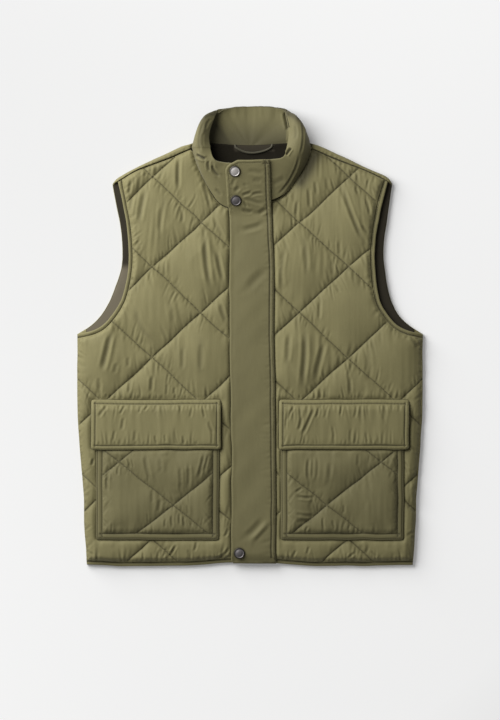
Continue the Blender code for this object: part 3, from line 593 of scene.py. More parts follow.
# Metal: scale of its brushing and wear, what wear and brushing add to the colour, what brushing and wear
# add to the roughness and what is taken off, and the bump
BRUSHED = 900.0
BRUSH_STRETCH = (1.0, 0.08, 1.0)
WORN = 260.0
WORN_MIX = (0.7, 0.3)
METAL_ROUGH = (0.15, 0.12, 0.13)
METAL_BUMP = (0.2, 0.05)

# Picture: its scale, the point below its middle, the lens and the lights
PICTURE_TALL = 1.152
PICTURE_CENTRE = (0.0, -0.0384)
PICTURE_LEVEL = 0.012
LENS = 135.0
SENSOR = 36.0
KEY_PLACE = (-1.084, 0.909, 0.956)
KEY_SIZE = 1.8
KEY_FALL = 3.3
KEY_POWER = 66.0
SKY = 0.2

# Floor: its level in metres, the key light's share of its light, its tone and its own light
FLOOR_LEVEL = -0.0003
KEY_SHARE = 0.83
FLOOR_TONE = 0.6
FLOOR_GLOW = 0.15


def rows_of(*parts):
    return np.vstack([np.asarray(part, float) for part in parts])


def closed(loop):
    return np.vstack([loop, loop[:1]])


def unit(rows):
    return rows / np.linalg.norm(rows, axis=1)[:, None]


def left_of(steps):
    """Steps in plan turned to their left."""
    return np.column_stack([-steps[:, 1], steps[:, 0]])


def run_along(line):
    """Distance of each point of a line from its start."""
    return np.concatenate([[0.0], np.cumsum(np.linalg.norm(np.diff(line, axis=0), axis=1))])


def resampled(line, step):
    line = np.asarray(line, float)
    along = run_along(line)
    spots = np.linspace(0, along[-1], max(2, int(round(along[-1] / step)) + 1))
    return np.column_stack([np.interp(spots, along, column) for column in line.T])


def point_at(line, along, place):
    """Point of a line at a distance along it."""
    return np.array([np.interp(place, along, column) for column in line.T])


def spline(points, pieces):
    """Smooth line through the points, cut into equal pieces between each two."""
    p = np.array(points, float)
    p = np.vstack([2 * p[0] - p[1], p, 2 * p[-1] - p[-2]])
    t = np.linspace(0, 1, pieces, endpoint=False)[:, None]
    spans = [0.5 * (2 * b + (c - a) * t + (2 * a - 5 * b + 4 * c - d) * t ** 2
                    + (3 * b - a - 3 * c + d) * t ** 3)
             for a, b, c, d in zip(p, p[1:], p[2:], p[3:])]
    return np.vstack([*spans, p[-2]])


def ease(share):
    t = np.clip(share, 0, 1)
    return t * t * (3 - 2 * t)


def ramp(values, start, over):
    return ease((values - start) / over)


def faded(t, share):
    """Fades both ends of a stroke, each within a share of its length."""
    return ease(t / share) * ease((1 - t) / share)


def swell(share):
    """Rise of a rounded edge: steep at first, level at the end."""
    return 1 - (1 - np.clip(share, 0, 1)) ** 2


def bell(gap, width=1.0):
    return np.exp(-(gap / width) ** 2)


def between(first, last, share):
    return first + (last - first) * share


def inside(points, loop, batch=4000):
    a, b = loop, np.roll(loop, -1, axis=0)
    rise = np.where(b[:, 1] == a[:, 1], 1.0, b[:, 1] - a[:, 1])
    found = []
    for first in range(0, len(points), batch):
        x, y = points[first:first + batch, :1], points[first:first + batch, 1:2]
        crosses = (a[:, 1] > y) != (b[:, 1] > y)
        meets = a[:, 0] + (y - a[:, 1]) * (b[:, 0] - a[:, 0]) / rise
        found.append(np.sum(crosses & (x < meets), axis=1) % 2 == 1)
    return np.concatenate(found) if found else np.zeros(0, bool)


def gap_to(points, lines):
    """Distance of each point from the nearest of some lines."""
    spots = np.vstack([resampled(line, LINE_DENSE) for line in lines])
    tree = KDTree(len(spots))
    for i, (x, y) in enumerate(spots.tolist()):
        tree.insert((x, y, 0.0), i)
    tree.balance()
    return np.array([tree.find((x, y, 0.0))[2] for x, y in points.tolist()])


def outside(points, loop):
    """Distance outside a loop, nothing within it."""
    return np.where(inside(points, loop), 0.0, gap_to(points, [closed(loop)]))


def inward(ring, gap):
    """Ring that runs anticlockwise, moved in, but less where it comes to a sharp point."""
    step = unit(np.roll(ring, -1, axis=0) - np.roll(ring, 1, axis=0))
    before = ring - np.roll(ring, POINT_SPAN, axis=0)
    after = np.roll(ring, -POINT_SPAN, axis=0) - ring
    lengths = np.linalg.norm(before, axis=1) * np.linalg.norm(after, axis=1)
    back = np.sum(before * after, axis=1) < POINT_COSINE * lengths
    return ring + left_of(step) * np.where(back, POINT_SHARE * gap, gap)[:, None]


def beside(line, gap):
    """Open line moved to its left."""
    return line + left_of(unit(np.gradient(line, axis=0))) * gap


def area_of(loop):
    x, y = loop.T
    return 0.5 * np.sum(x * np.roll(y, -1) - np.roll(x, -1) * y)


def evened(loop, step=RING_STEP, corner=25.0, passes=4):
    """Loop with even, softened stretches between the corners that it keeps."""
    before, after = loop - np.roll(loop, 1, axis=0), np.roll(loop, -1, axis=0) - loop
    cross = before[:, 0] * after[:, 1] - before[:, 1] * after[:, 0]
    turn = np.arctan2(cross, np.sum(before * after, axis=1))
    kept = np.flatnonzero(np.abs(turn) > math.radians(corner))
    if len(kept) == 0:
        kept = np.array([0])
    parts = []
    for first, last in zip(kept, np.append(kept[1:], kept[0] + len(loop))):
        part = resampled(loop[np.arange(first, last + 1) % len(loop)], step)
        for _ in range(passes):
            part[1:-1] = 0.25 * part[:-2] + 0.5 * part[1:-1] + 0.25 * part[2:]
        parts.append(part[:-1])
    return np.vstack(parts)


def outline(work):
    """Edge of a solid's upper faces, as one loop that runs anticlockwise from above."""
    after = {}
    for face in work.faces:
        if face.normal.z < UPPER_FACE:
            continue
        for corner in face.loops:
            others = [f for f in corner.edge.link_faces if f is not face]
            if all(f.normal.z < UPPER_FACE for f in others):
                after[corner.vert] = corner.link_loop_next.vert
    loops = []
    while after:
        loop = [next(iter(after))]
        while loop[-1] in after:
            loop.append(after.pop(loop[-1]))
        loops.append(np.array([v.co[:2] for v in loop[:-1]]))
    return max(loops, key=lambda loop: abs(area_of(loop)))


def tree_of(verts, faces):
    return BVHTree.FromPolygons(verts.tolist(), faces.tolist())


def heights(tree, points, start, way, level):
    """Height at which a ray along Z meets a face, or of the nearest place to a level."""
    found = []
    for x, y in points.tolist():
        hit = tree.ray_cast((x, y, start), (0, 0, way))[0]
        if hit is None:
            hit = tree.find_nearest((x, y, level))[0]
        found.append(hit[2])
    return np.array(found)


def drop_onto(tree, points):
    return heights(tree, points, RAY_START, -1, FACE_LEVEL)


class Solid:
    """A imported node, read from above and from below."""

    def __init__(self, name):
        work = bmesh.new()
        work.from_mesh(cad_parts[name].data)
        bmesh.ops.scale(work, vec=Vector((1, 1, 1)) / MM, verts=work.verts)
        bmesh.ops.remove_doubles(work, verts=work.verts, dist=MERGED)
        work.normal_update()
        self.tree = BVHTree.FromBMesh(work)
        self.ring = outline(work)
        self.middle = float(np.mean([v.co.z for v in work.verts]))
        work.free()

    def top(self, points):
        return heights(self.tree, points, RAY_START, -1, self.middle)

    def low(self, points):
        return heights(self.tree, points, -RAY_START, 1, self.middle)


SOLIDS = {name: Solid(name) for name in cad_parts
          if not name.startswith("snap") and name not in ("collar", "hanger_loop")}
RINGS = {name: evened(solid.ring, passes=2 if name.startswith("pocket") else 4)
         for name, solid in SOLIDS.items()}


def tucked_under(collar_reach):
    """Carries the lining and the shoulder rolls on under the collar, so that no gap shows at the neck."""
    lining, back = RINGS["back_lining"], RINGS["back_panel"]
    x, y = np.abs(lining[:, 0]), lining[:, 1]
    lining[:, 1] += collar_reach * ramp(x, *LINING_TUCK) * (y > NECK_FROM)
    x, y = np.abs(back[:, 0]), back[:, 1]
    roll = ramp(x, *ROLL_TUCK_OUT) * ramp(x, *ROLL_TUCK_IN) * ramp(y, *ROLL_TUCK_UP)
    back[:, 0] -= np.sign(back[:, 0]) * collar_reach * roll


def lowered_corner(drop, corner_drop):
    """Lets the placket's top lie lower, most of all at its free corner."""
    x, y = RINGS["placket"].T
    y -= ramp(y, *PLACKET_TOP) * (drop + corner_drop * ramp(x, *PLACKET_FREE))


tucked_under(NECK_REACH)
lowered_corner(*PLACKET_DROP)


def settled(points):
    """Points moved sideways as the upper body lies."""
    points = np.array(points, float)
    up = np.clip((points[:, 1] - SETTLE_FROM) / SETTLE_OVER, 0, 1)
    points[:, 0] += np.interp(np.abs(points[:, 0]), SETTLE_X, SETTLE_BY) * up
    return points


def quilt_lines(quilt, side, slope, seed):
    """Stitch lines of one slant over half of the vest, each a little unsteady."""
    x0, y0, wide, high = quilt
    xa, xb, ya, yb = QUILT_BOX
    long, short = QUILT_WAVES
    dice = np.random.default_rng(seed + slope + 3 * side)
    x = np.arange(xa, xb, LINE_STEP)
    u = (x - x0) / wide
    lines = []
    for k in range(*QUILT_SPAN):
        y = y0 - high * (2 * k - slope * u)
        phase = dice.uniform(0, 2 * math.pi, 2)
        y = y + QUILT_WANDER * (np.sin(x / long + phase[0]) + np.sin(x / short + phase[1]) / 2)
        kept = (y > ya) & (y < yb)
        if np.sum(kept) > 2:
            lines.append(settled(np.column_stack([x * side, y])[kept]))
    return lines


def diamonds(flat, slants):
    """Share of the padding's height: nothing on a stitch line, nearly one in a diamond's middle."""
    quilt = 1.0
    for lines in slants:
        quilt = quilt * (1 - np.exp(-gap_to(flat, lines) / QUILT_RAMP))
    return quilt


def parts_within(line, test, least=3):
    """Stretches of a line whose points pass a test."""
    cuts = np.flatnonzero(np.diff(np.concatenate([[0], test(line).astype(int), [0]])))
    return [line[a:b] for a, b in zip(cuts[::2], cuts[1::2]) if b - a > least]


def ripple(points, wide, tall, seed, lean):
    """Soft random heights from -1 to 1, in leaning cells of a width and a height."""
    table = np.random.default_rng(seed).uniform(-1, 1, (WAVE_CELLS, WAVE_CELLS))
    u = (points[:, 0] - lean * points[:, 1]) / wide + WAVE_SHIFT
    v = points[:, 1] / tall + WAVE_SHIFT
    i, j = np.floor(u).astype(int), np.floor(v).astype(int)
    fu, fv = ease(u - i), ease(v - j)

    def cell(across, up):
        return table[across % WAVE_CELLS, up % WAVE_CELLS]

    near = cell(i, j) * (1 - fv) + cell(i, j + 1) * fv
    far = cell(i + 1, j) * (1 - fv) + cell(i + 1, j + 1) * fv
    return near * (1 - fu) + far * fu


def waved(points, waves, seed=0):
    """Sum of some soft uneven heights; the seed keeps pieces alike but not the same."""
    return sum(row.depth * ripple(points, row.wide, row.tall, row.seed + seed, row.lean) for row in waves)


def wandered(verts):
    """Points moved a little in plan, alike for all pieces that meet there."""
    moved = np.array(verts, float)
    for axis in (0, 1):
        stray = ripple(moved[:, :2], WANDER_LENGTH, WANDER_LENGTH, WANDER_SEED + axis, 0.0)
        moved[:, axis] += WANDER * stray
    return moved


def stroke(points, start, middle, end, width):
    """Points near a bent stroke: which they are, their share along it and how many widths across."""
    ends = rows_of([start, middle, end])
    low, high = ends.min(axis=0) - CREASE_REACH * width, ends.max(axis=0) + CREASE_REACH * width
    near = np.flatnonzero(np.all((points > low) & (points < high), axis=1))
    chord = ends[2] - ends[0]
    length = np.linalg.norm(chord)
    along = chord / length
    normal = np.array([-along[1], along[0]])
    bend = (ends[1] - (ends[0] + ends[2]) / 2) @ normal
    rel = points[near] - ends[0]
    t = rel @ along / length
    across = rel @ normal - 4 * bend * t * (1 - t)
    return near, t, across / width


def trough(across):
    """Section of a crease, with the cloth raised on both sides of it."""
    return bell(across) - RIDGE_SHARE * bell(np.abs(across) - RIDGE_AWAY, RIDGE_WIDTH)


def hex_grid(loop, step):
    """Even points over a loop's box, every second row shifted by half a step."""
    (x0, y0), (x1, y1) = loop.min(axis=0), loop.max(axis=0)
    rows = []
    for k, y in enumerate(np.arange(y0, y1, step * math.sqrt(3) / 2)):
        x = np.arange(x0 + step / 2 * (k % 2), x1, step)
        rows.append(np.column_stack([x, np.full_like(x, y)]))
    return np.vstack(rows)


def fill(ring, points):
    """Triangles within a ring, whose own points come first and in their order."""
    count = len(ring)
    flat = np.vstack([ring, points])
    edges = [(i, (i + 1) % count) for i in range(count)]
    made = delaunay_2d_cdt([Vector(p) for p in flat.tolist()], edges, [], RING_ALONE, POINT_GAP)
    source = np.array([min(ids) for ids in made[3]])
    faces = source[np.array(made[2])]
    used = np.unique(np.concatenate([np.arange(count), faces.ravel()]))
    return flat[used], np.searchsorted(used, faces)


def ring_walls(starts, count):
    """Squares between rings of points, each ring given by its first point's number."""
    here = np.arange(count)
    after = (here + 1) % count
    walls = [np.column_stack([a + here, b + here, b + after, a + after])
             for a, b in zip(starts, starts[1:])]
    return np.vstack(walls).tolist()


def spread_out(points, least):
    """Points of which no two are very close, the first of each cluster kept."""
    cells = np.round(points / least).astype(int)
    return points[np.sort(np.unique(cells, axis=0, return_index=True)[1])]


class Panel:
    """A cut piece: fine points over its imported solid, and the wall that stands on each of them."""

    def __init__(self, name, step, lines=(), hidden=()):
        self.name = name
        self.solid = SOLIDS[name]
        self.ring = RINGS[name]
        self.count = len(self.ring)
        rim = inward(self.ring, EDGE_ROWS[-1][0])
        self.flat, self.faces = fill(rim, self.spots(step, lines, hidden))
        self.edge = gap_to(self.flat, [closed(self.ring)])
        self.low = self.solid.low(self.flat)
        self.top = self.solid.top(self.flat)
        self.relief = np.zeros(len(self.flat))
        self.tone = np.zeros(len(self.flat))
        self.tree = None

    def spots(self, step, lines, hidden):
        """Rows beside the edge and the stitch lines, then an even grid that is coarser where hidden."""
        rows = [inward(self.ring, gap) for gap in EDGE_GUIDES]
        rows += [beside(line, gap) for line in lines for gap in LINE_SIDES]
        rows = spread_out(np.vstack(rows), ROWS_APART)
        rows = rows[inside(rows, self.ring)]
        rows = rows[gap_to(rows, [closed(self.ring)]) > EDGE_ROWS[-1][0] + ROWS_FROM_EDGE]
        grid = hex_grid(self.ring, step)
        coarse = hex_grid(self.ring, HIDDEN_STEP)
        for loop in hidden:
            grid = grid[~inside(grid, inward(loop, HIDDEN_MARGIN))]
        under = [coarse[inside(coarse, inward(loop, HIDDEN_MARGIN + step))] for loop in hidden]
        grid = np.vstack([grid, *under])
        grid = grid[inside(grid, self.ring)]
        guides = [closed(self.ring), closed(inward(self.ring, EDGE_GUIDES[-1]))]
        guides += [beside(line, gap) for line in lines for gap in LINE_SIDES[::3]]
        return np.vstack([rows, grid[gap_to(grid, guides) > GRID_APART * step]])

    def softened(self, values, passes):
        """Values with each one drawn towards its neighbours."""
        pairs = np.vstack([self.faces[:, [0, 1]], self.faces[:, [1, 2]], self.faces[:, [2, 0]]])
        size = len(self.flat)
        share = np.bincount(pairs.ravel(), minlength=size)
        for _ in range(passes):
            total = np.bincount(pairs[:, 0], values[pairs[:, 1]], size)
            total += np.bincount(pairs[:, 1], values[pairs[:, 0]], size)
            values = (values + total / share) / 2
        return values

    def smooth(self, passes):
        self.top = self.softened(self.top, passes)

    def face_tree(self):
        return tree_of(np.column_stack([self.flat, self.top]), self.faces)

    def buckle(self, lines, covers, seam=0.0):
        """Lets the cloth, cut a little wide, buckle between its seams, edges and what lies on it."""
        ring = inward(self.ring, EDGE_ROWS[-1][0])[::2]
        rows = spread_out(np.vstack([resampled(line, BUCKLE_STEP) for line in lines]), BUCKLE_STEP / 2)
        rows = rows[inside(rows, inward(ring, BUCKLE_RIM))]
        grid = hex_grid(ring, BUCKLE_STEP)
        grid = grid[inside(grid, ring)]
        grid = grid[gap_to(grid, [closed(ring), *lines]) > GRID_APART * BUCKLE_STEP]
        for loop in covers:
            grid = grid[~inside(grid, inward(loop, HIDDEN_MARGIN))]
        flat, faces = fill(ring, np.vstack([rows, grid]))
        lying = np.column_stack([flat, drop_onto(self.face_tree(), flat)])
        held = gap_to(flat, [closed(ring), *lines]) < HELD_BY_SEAM
        held |= gap_to(flat, [closed(self.ring)]) < seam
        for loop in covers:
            held |= outside(flat, loop) < HELD_BY_COVER
        moved = settled_cloth(lying, faces, held)
        before, after = (drop_onto(tree_of(spots, faces), self.flat) for spots in (lying, moved))
        change = np.clip(after - before, -BUCKLE_CAP, BUCKLE_CAP)
        self.top = np.maximum(self.top + self.softened(change, passes=2), self.low + LEAST_WALL)

    def crease(self, table):
        for x0, y0, x1, y1, x2, y2, width, depth in table:
            near, t, across = stroke(self.flat, (x0, y0), (x1, y1), (x2, y2), width * CREASE_THIN)
            ends = faded(t, CREASE_ENDS)
            self.relief[near] -= CREASE_GAIN * depth * ends * trough(across)
            self.darken(near, depth * ends, across)

    def darken(self, near, depth, across):
        """Paints shade into the bottom of a crease."""
        dark = CREASE_SHADE * depth * bell(CREASE_DARK * across)
        self.tone[near] = np.maximum(self.tone[near], dark)

    def pucker(self, lines, puckers, seed=0, lean=None):
        """Short uneven folds that run out of stitch lines and fade."""
        dice = np.random.default_rng(puckers.seed + seed)
        for line in lines:
            along = run_along(line)
            place = dice.uniform(0, puckers.spacing)
            while place < along[-1]:
                spot, ahead, behind = (point_at(line, along, place + by) for by in (0.0, 1.0, -1.0))
                step = (ahead - behind) / np.linalg.norm(ahead - behind)
                for side in puckers.sides:
                    draw = dice.uniform(size=6)
                    if draw[0] >= PUCKER_SKIP:
                        tilt = (lean(spot) if lean else 0.0) + PUCKER_TILT * (draw[1] - 0.5)
                        self.fold(spot, np.array([-step[1], step[0]]) * side, tilt, puckers, draw[2:])
                place += puckers.spacing * dice.uniform(*PUCKER_UNEVEN)

    def fold(self, spot, normal, tilt, puckers, draw):
        """One fold from a spot on a stitch line, partly upright and partly square to the line."""
        plumb = np.array([math.sin(tilt), math.cos(tilt)])
        plumb *= 1.0 if plumb @ normal > 0 else -1.0
        way = puckers.upright * plumb + (1 - puckers.upright) * normal
        way /= np.linalg.norm(way)
        long = between(*puckers.length, draw[0] ** 2)
        wide = between(*puckers.width, draw[1])
        deep = between(*puckers.depth, draw[2])
        bend = np.array([way[1], -way[0]]) * long * PUCKER_BEND * (draw[3] - 0.5)
        near, t, across = stroke(self.flat, spot, spot + way * long / 2 + bend, spot + way * long, wide)
        ends = ease(t / PUCKER_START) * (1 - ramp(t, *PUCKER_FADE))
        self.relief[near] -= deep * ends * trough(across)
        self.darken(near, deep * ends, across)

    def sew(self, lines, depth=GROOVE_DEPTH, width=GROOVE_WIDTH):
        """Presses a stitched line into the cloth, and paints shade along it."""
        gap = gap_to(self.flat, lines)
        self.top -= depth * bell(gap, width)
        self.shade(gap, GROOVE_SHADE, GROOVE_SHARE)

    def shade(self, gap, width=DITCH_WIDTH, share=DITCH_SHARE):
        """Paints shade into the cloth close to a seam or to a piece that lies on it."""
        self.tone = np.maximum(self.tone, share * bell(gap, width))

    def roll(self, height, away, width):
        """Raises the cloth along its edge."""
        self.top += height * bell(self.edge - away, width)

    def settle_relief(self, share):
        self.top = np.maximum(self.top + self.relief * share, self.low + LEAST_WALL)

    def make(self, title, finish):
        """Closed piece: the fine face, a rounded edge and a plain underside."""
        rim_low, rim_top = self.low[:self.count], self.top[:self.count]
        ring_in = inward(self.ring, EDGE_ROWS[0][0])
        grid = hex_grid(ring_in, UNDER_STEP)
        grid = grid[inside(grid, ring_in)]
        grid = grid[gap_to(grid, [closed(ring_in)]) > UNDER_STEP / 3]
        below, low_faces = fill(ring_in, grid)
        levels = [np.column_stack([self.flat, self.top])]
        for gap, share in EDGE_ROWS[-2:0:-1]:
            levels.append(np.column_stack([inward(self.ring, gap), between(rim_low, rim_top, share)]))
        base_low = np.concatenate([rim_low, self.solid.low(below[self.count:])])
        levels.append(np.column_stack([below, base_low]))
        starts = np.cumsum([0] + [len(level) for level in levels[:-1]])
        verts = np.vstack(levels)
        faces = [*self.faces.tolist(), *ring_walls(starts, self.count),
                 *(low_faces[:, ::-1] + starts[-1]).tolist()]
        tone = np.zeros(len(verts))
        tone[:len(self.flat)] = self.tone
        self.tree = self.face_tree()
        return add_piece(title, verts, faces, finish, [self.name], tone)


def linked(title, data):
    """New object in the scene."""
    made = bpy.data.objects.new(title, data)
    bpy.context.scene.collection.objects.link(made)
    return made


def read_points(mesh, kind):
    """Places or normals of a mesh's points, as rows."""
    values = np.zeros(len(mesh.vertices) * 3, np.float32)
    mesh.vertices.foreach_get(kind, values)
    return values.reshape(-1, 3)


def settled_cloth(lying, faces, held):
    """Cloth simulation of one face, held where it is sewn, from a cut that is wider than it lies."""
    mesh = bpy.data.meshes.new("buckling")
    mesh.from_pydata((lying * BUCKLE_SCALE).tolist(), [], faces.tolist())
    cloth = linked("buckling", mesh)
    cloth.vertex_groups.new(name="sewn").add(np.flatnonzero(held).tolist(), 1.0, "REPLACE")
    cloth.shape_key_add(name="lying")
    cut = cloth.shape_key_add(name="cut")
    wide = lying * BUCKLE_SCALE * (1 + CUT_WIDER, 1 + CUT_LONGER, 1.0)
    cut.data.foreach_set("co", wide.ravel())
    settings = cloth.modifiers.new("cloth", "CLOTH").settings
    settings.vertex_group_mass = "sewn"
    settings.rest_shape_key = cut
    settings.effector_weights.gravity = 0.0
    for name, value in BUCKLE_CLOTH.items():
        setattr(settings, name, value)
    scene = bpy.context.scene
    for moment in range(1, BUCKLE_FRAMES + 1):
        scene.frame_set(moment)
    seen = cloth.evaluated_get(bpy.context.evaluated_depsgraph_get())
    spots = read_points(seen.data, "co")
    bpy.data.objects.remove(cloth)
    bpy.data.meshes.remove(mesh)
    scene.frame_set(1)
    return spots.astype(float) / BUCKLE_SCALE


def coat(mesh, finish, tone):
    """Gives a mesh its finish, and the tone of each of its points, which paints shade, and on the lining
    paints light.
    """
    mesh.attributes.new("tone", "FLOAT", "POINT").data.foreach_set("value", tone)
    mesh.materials.clear()
    mesh.materials.append(finish)


def smooth_faces(mesh):
    mesh.polygons.foreach_set("use_smooth", [True] * len(mesh.polygons))
    mesh.update()


def add_piece(title, verts, faces, finish, nodes, tone):
    mesh = bpy.data.meshes.new(title)
    mesh.from_pydata((wandered(verts) * MM).tolist(), [], faces)
    coat(mesh, finish, tone)
    smooth_faces(mesh)
    return carried(linked(title, mesh), nodes)


def carried(piece, nodes):
    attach(piece, "root")
    if nodes:
        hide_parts(*nodes)
    return piece


class Value:
    """A shader socket; sums with it add Math nodes."""

    def __init__(self, finish, socket):
        self.finish = finish
        self.socket = socket

    def joined(self, operation, first, second):
        return self.finish.node("ShaderNodeMath", {"operation": operation}, {0: first, 1: second})

    def __add__(self, other):
        return self.joined("ADD", self, other)

    def __sub__(self, other):
        return self.joined("SUBTRACT", self, other)

    def __rsub__(self, other):
        return self.joined("SUBTRACT", other, self)

    def __mul__(self, other):
        return self.joined("MULTIPLY", self, other)

    def __truediv__(self, other):
        return self.joined("DIVIDE", self, other)

    def __rtruediv__(self, other):
        return self.joined("DIVIDE", other, self)

    def __pow__(self, other):
        return self.joined("POWER", self, other)

    __radd__ = __add__
    __rmul__ = __mul__


class Finish:
    """A material made of nodes, with one Principled shader."""

    def __init__(self, title, sockets):
        self.made = bpy.data.materials.new(title)
        self.made.use_nodes = True
        self.tree = self.made.node_tree
        self.shader = self.tree.nodes["Principled BSDF"]
        self.surface(sockets)

    def node(self, kind, settings=(), sockets=(), out=0):
        node = self.tree.nodes.new(kind)
        for name, value in dict(settings).items():
            setattr(node, name, value)
        for name, value in dict(sockets).items():
            self.feed(node.inputs[name], value)
        return Value(self, node.outputs[out])

    def feed(self, socket, value):
        if isinstance(value, Value):
            self.tree.links.new(value.socket, socket)
        else:
            socket.default_value = value

    def surface(self, sockets):
        for name, value in sockets.items():
            self.feed(self.shader.inputs[name], value)

    def place(self):
        return self.node("ShaderNodeTexCoord", out="Object")

    # The tone attribute: share of painted shade on the pieces, and of painted light on the lining
    def tone(self):
        return self.node("ShaderNodeAttribute", {"attribute_name": "tone"}, out="Fac")

    def noise(self, place, scale, stretch=(1.0, 1.0, 1.0), detail=3.0):
        moved = self.node("ShaderNodeMapping", {}, {"Vector": place, "Scale": stretch})
        return self.node("ShaderNodeTexNoise", {}, {"Vector": moved, "Scale": scale, "Detail": detail})

    def threads(self, place, axis, pitch):
        """Waves across one axis, from 0 to 1, one for each thread."""
        return self.node("ShaderNodeTexWave", {"wave_type": "BANDS", "bands_direction": axis},
                         {"Vector": place, "Scale": WAVE_PITCH / pitch, "Distortion": 0.0})

    def blend(self, share, first, second):
        return self.node("ShaderNodeMix", {"data_type": "RGBA"}, {0: share, 6: first, 7: second}, 2)

    def vectors(self, operation, first, second=(0.0, 0.0, 0.0), out=0):
        return self.node("ShaderNodeVectorMath", {"operation": operation}, {0: first, 1: second}, out)

    def bump(self, height, strength, depth):
        sockets = {"Height": height, "Strength": strength, "Distance": depth * MM}
        return self.node("ShaderNodeBump", {}, sockets)


def opaque(colour):
    return (*colour, 1.0)


def woven(title, light, dark, shade, pitch, roughness=0.7, sheen=0.1, gloss=0.3):
    """Plain-weave cloth: mottled colour, slubs, and the tone's painted shade along its stitch lines, seams
    and creases; on the lining the tone paints light instead.
    """
    finish = Finish(title, {"Sheen Weight": sheen, "Sheen Roughness": 0.45, "Specular IOR Level": gloss})
    place = finish.place()
    cloudy = finish.noise(place, MOTTLE, detail=4.0)
    slubs = finish.noise(place, SLUBS, SLUB_STRETCH, detail=2.0)
    by_cloud, by_slub, less = MOTTLE_MIX
    mixed = finish.blend(cloudy * by_cloud + slubs * by_slub - less, opaque(dark), opaque(light))
    coloured = finish.blend(finish.tone() * PAINTED_TONE_SHARE, mixed, opaque(shade))
    warp = finish.threads(place, "X", pitch)
    weft = finish.threads(place, "Y", pitch)
    weave = warp * weft + (1 - warp) * (1 - weft)
    by_weave, by_slub = WEAVE_MIX
    height = weave * by_weave + slubs * by_slub
    rough = cloudy * CLOTH_ROUGH + (roughness - CLOTH_ROUGH / 2)
    normal = finish.bump(height, *WEAVE_BUMP)
    finish.surface({"Base Color": coloured, "Roughness": rough, "Normal": normal})
    return finish.made


def metal(title, light, dark, roughness, bare):
    """Brushed gunmetal, some of it bare metal and some dull with wear, its rolled rim painted dark as
    shade.
    """
    finish = Finish(title, {"Metallic": bare})
    place = finish.place()
    brushed = finish.noise(place, BRUSHED, BRUSH_STRETCH, detail=2.0)
    worn = finish.noise(place, WORN, detail=3.0)
    by_wear, by_brush = WORN_MIX
    mixed = finish.blend(worn * by_wear + brushed * by_brush, opaque(dark), opaque(light))
    coloured = finish.blend(finish.tone(), mixed, opaque(STUD_RIM_SHADE_COLOUR))
    by_brush, by_wear, less = METAL_ROUGH
    rough = brushed * by_brush + worn * by_wear + (roughness - less)
    normal = finish.bump(brushed, *METAL_BUMP)
    finish.surface({"Base Color": coloured, "Roughness": rough, "Normal": normal})
    return finish.made


def paper(title):
    """Pale matt surface, lit a little from below, and darker towards the light so that it looks even."""
    finish = Finish(title, {"Roughness": 0.95, "Specular IOR Level": 0.1, "Emission Strength": FLOOR_GLOW,
                            "Emission Color": opaque((1, 1, 1))})
    reach = Vector(KEY_PLACE).length
    toward = finish.vectors("SUBTRACT", KEY_PLACE, finish.place())
    far = finish.vectors("LENGTH", toward, out="Value")
    facing = finish.vectors("DOT_PRODUCT", toward, Vector(KEY_PLACE) / reach, "Value")
    lit = (facing / reach) * (reach / far) ** KEY_FALL * KEY_SHARE + (1 - KEY_SHARE)
    tone = finish.blend(FLOOR_TONE / lit, opaque((0, 0, 0)), opaque((1, 1, 0.996)))
    finish.surface({"Base Color": tone})
    return finish.made


SHELL = woven("olive cloth", (0.185, 0.166, 0.073), (0.142, 0.127, 0.055), PAINTED_SHADE_COLOUR,
              pitch=0.55, roughness=0.72)
# The shell cloth painted darker, as shade, for the pockets, placket and collar
SHADED_SHELL = woven("olive cloth painted darker", (0.145, 0.13, 0.057), (0.111, 0.099, 0.043), PAINTED_SHADE_COLOUR,
               pitch=0.55, roughness=0.72)
THREAD = woven("olive thread", (0.1, 0.088, 0.039), (0.074, 0.065, 0.028), (0.056, 0.05, 0.021),
               pitch=0.3)
# The lining's own colour is set dark to paint the shade in the neck; its paler tone colour paints light
# where light reaches the armholes, and is also used behind the hanger loop
LINING = woven("dark lining", (0.015, 0.013, 0.009), (0.01, 0.0085, 0.0055), (0.17, 0.148, 0.105),
               pitch=0.4, sheen=0.0, gloss=0.03)
TAPE = woven("loop tape", (0.055, 0.05, 0.03), (0.038, 0.034, 0.02), (0.03, 0.027, 0.014),
             pitch=0.4)
STEEL = metal("gunmetal", (0.19, 0.176, 0.178), (0.115, 0.107, 0.108), roughness=0.5, bare=0.85)
# The gunmetal painted lighter, as light, for the stud on the collar
LIT_STEEL = metal("gunmetal painted lighter", (0.52, 0.49, 0.465), (0.34, 0.323, 0.306), roughness=0.4, bare=0.5)


def fold_lean(spot):
    """Folds lean in towards the neck, more so near the shoulders."""
    return LEAN_MOST * spot[0] / LEAN_X * float(np.clip((spot[1] - LEAN_FROM) / LEAN_OVER, 0, 1))


def fanned(points, side):
    """Points of a front moved apart, more so higher up, so that streaks run together there."""
    middle = FAN_MIDDLE * side
    apart = 1 + FAN_RATE * np.clip(points[:, 1] - FAN_FROM, 0, FAN_OVER)
    return np.column_stack([middle + (points[:, 0] - middle) * apart, points[:, 1]])


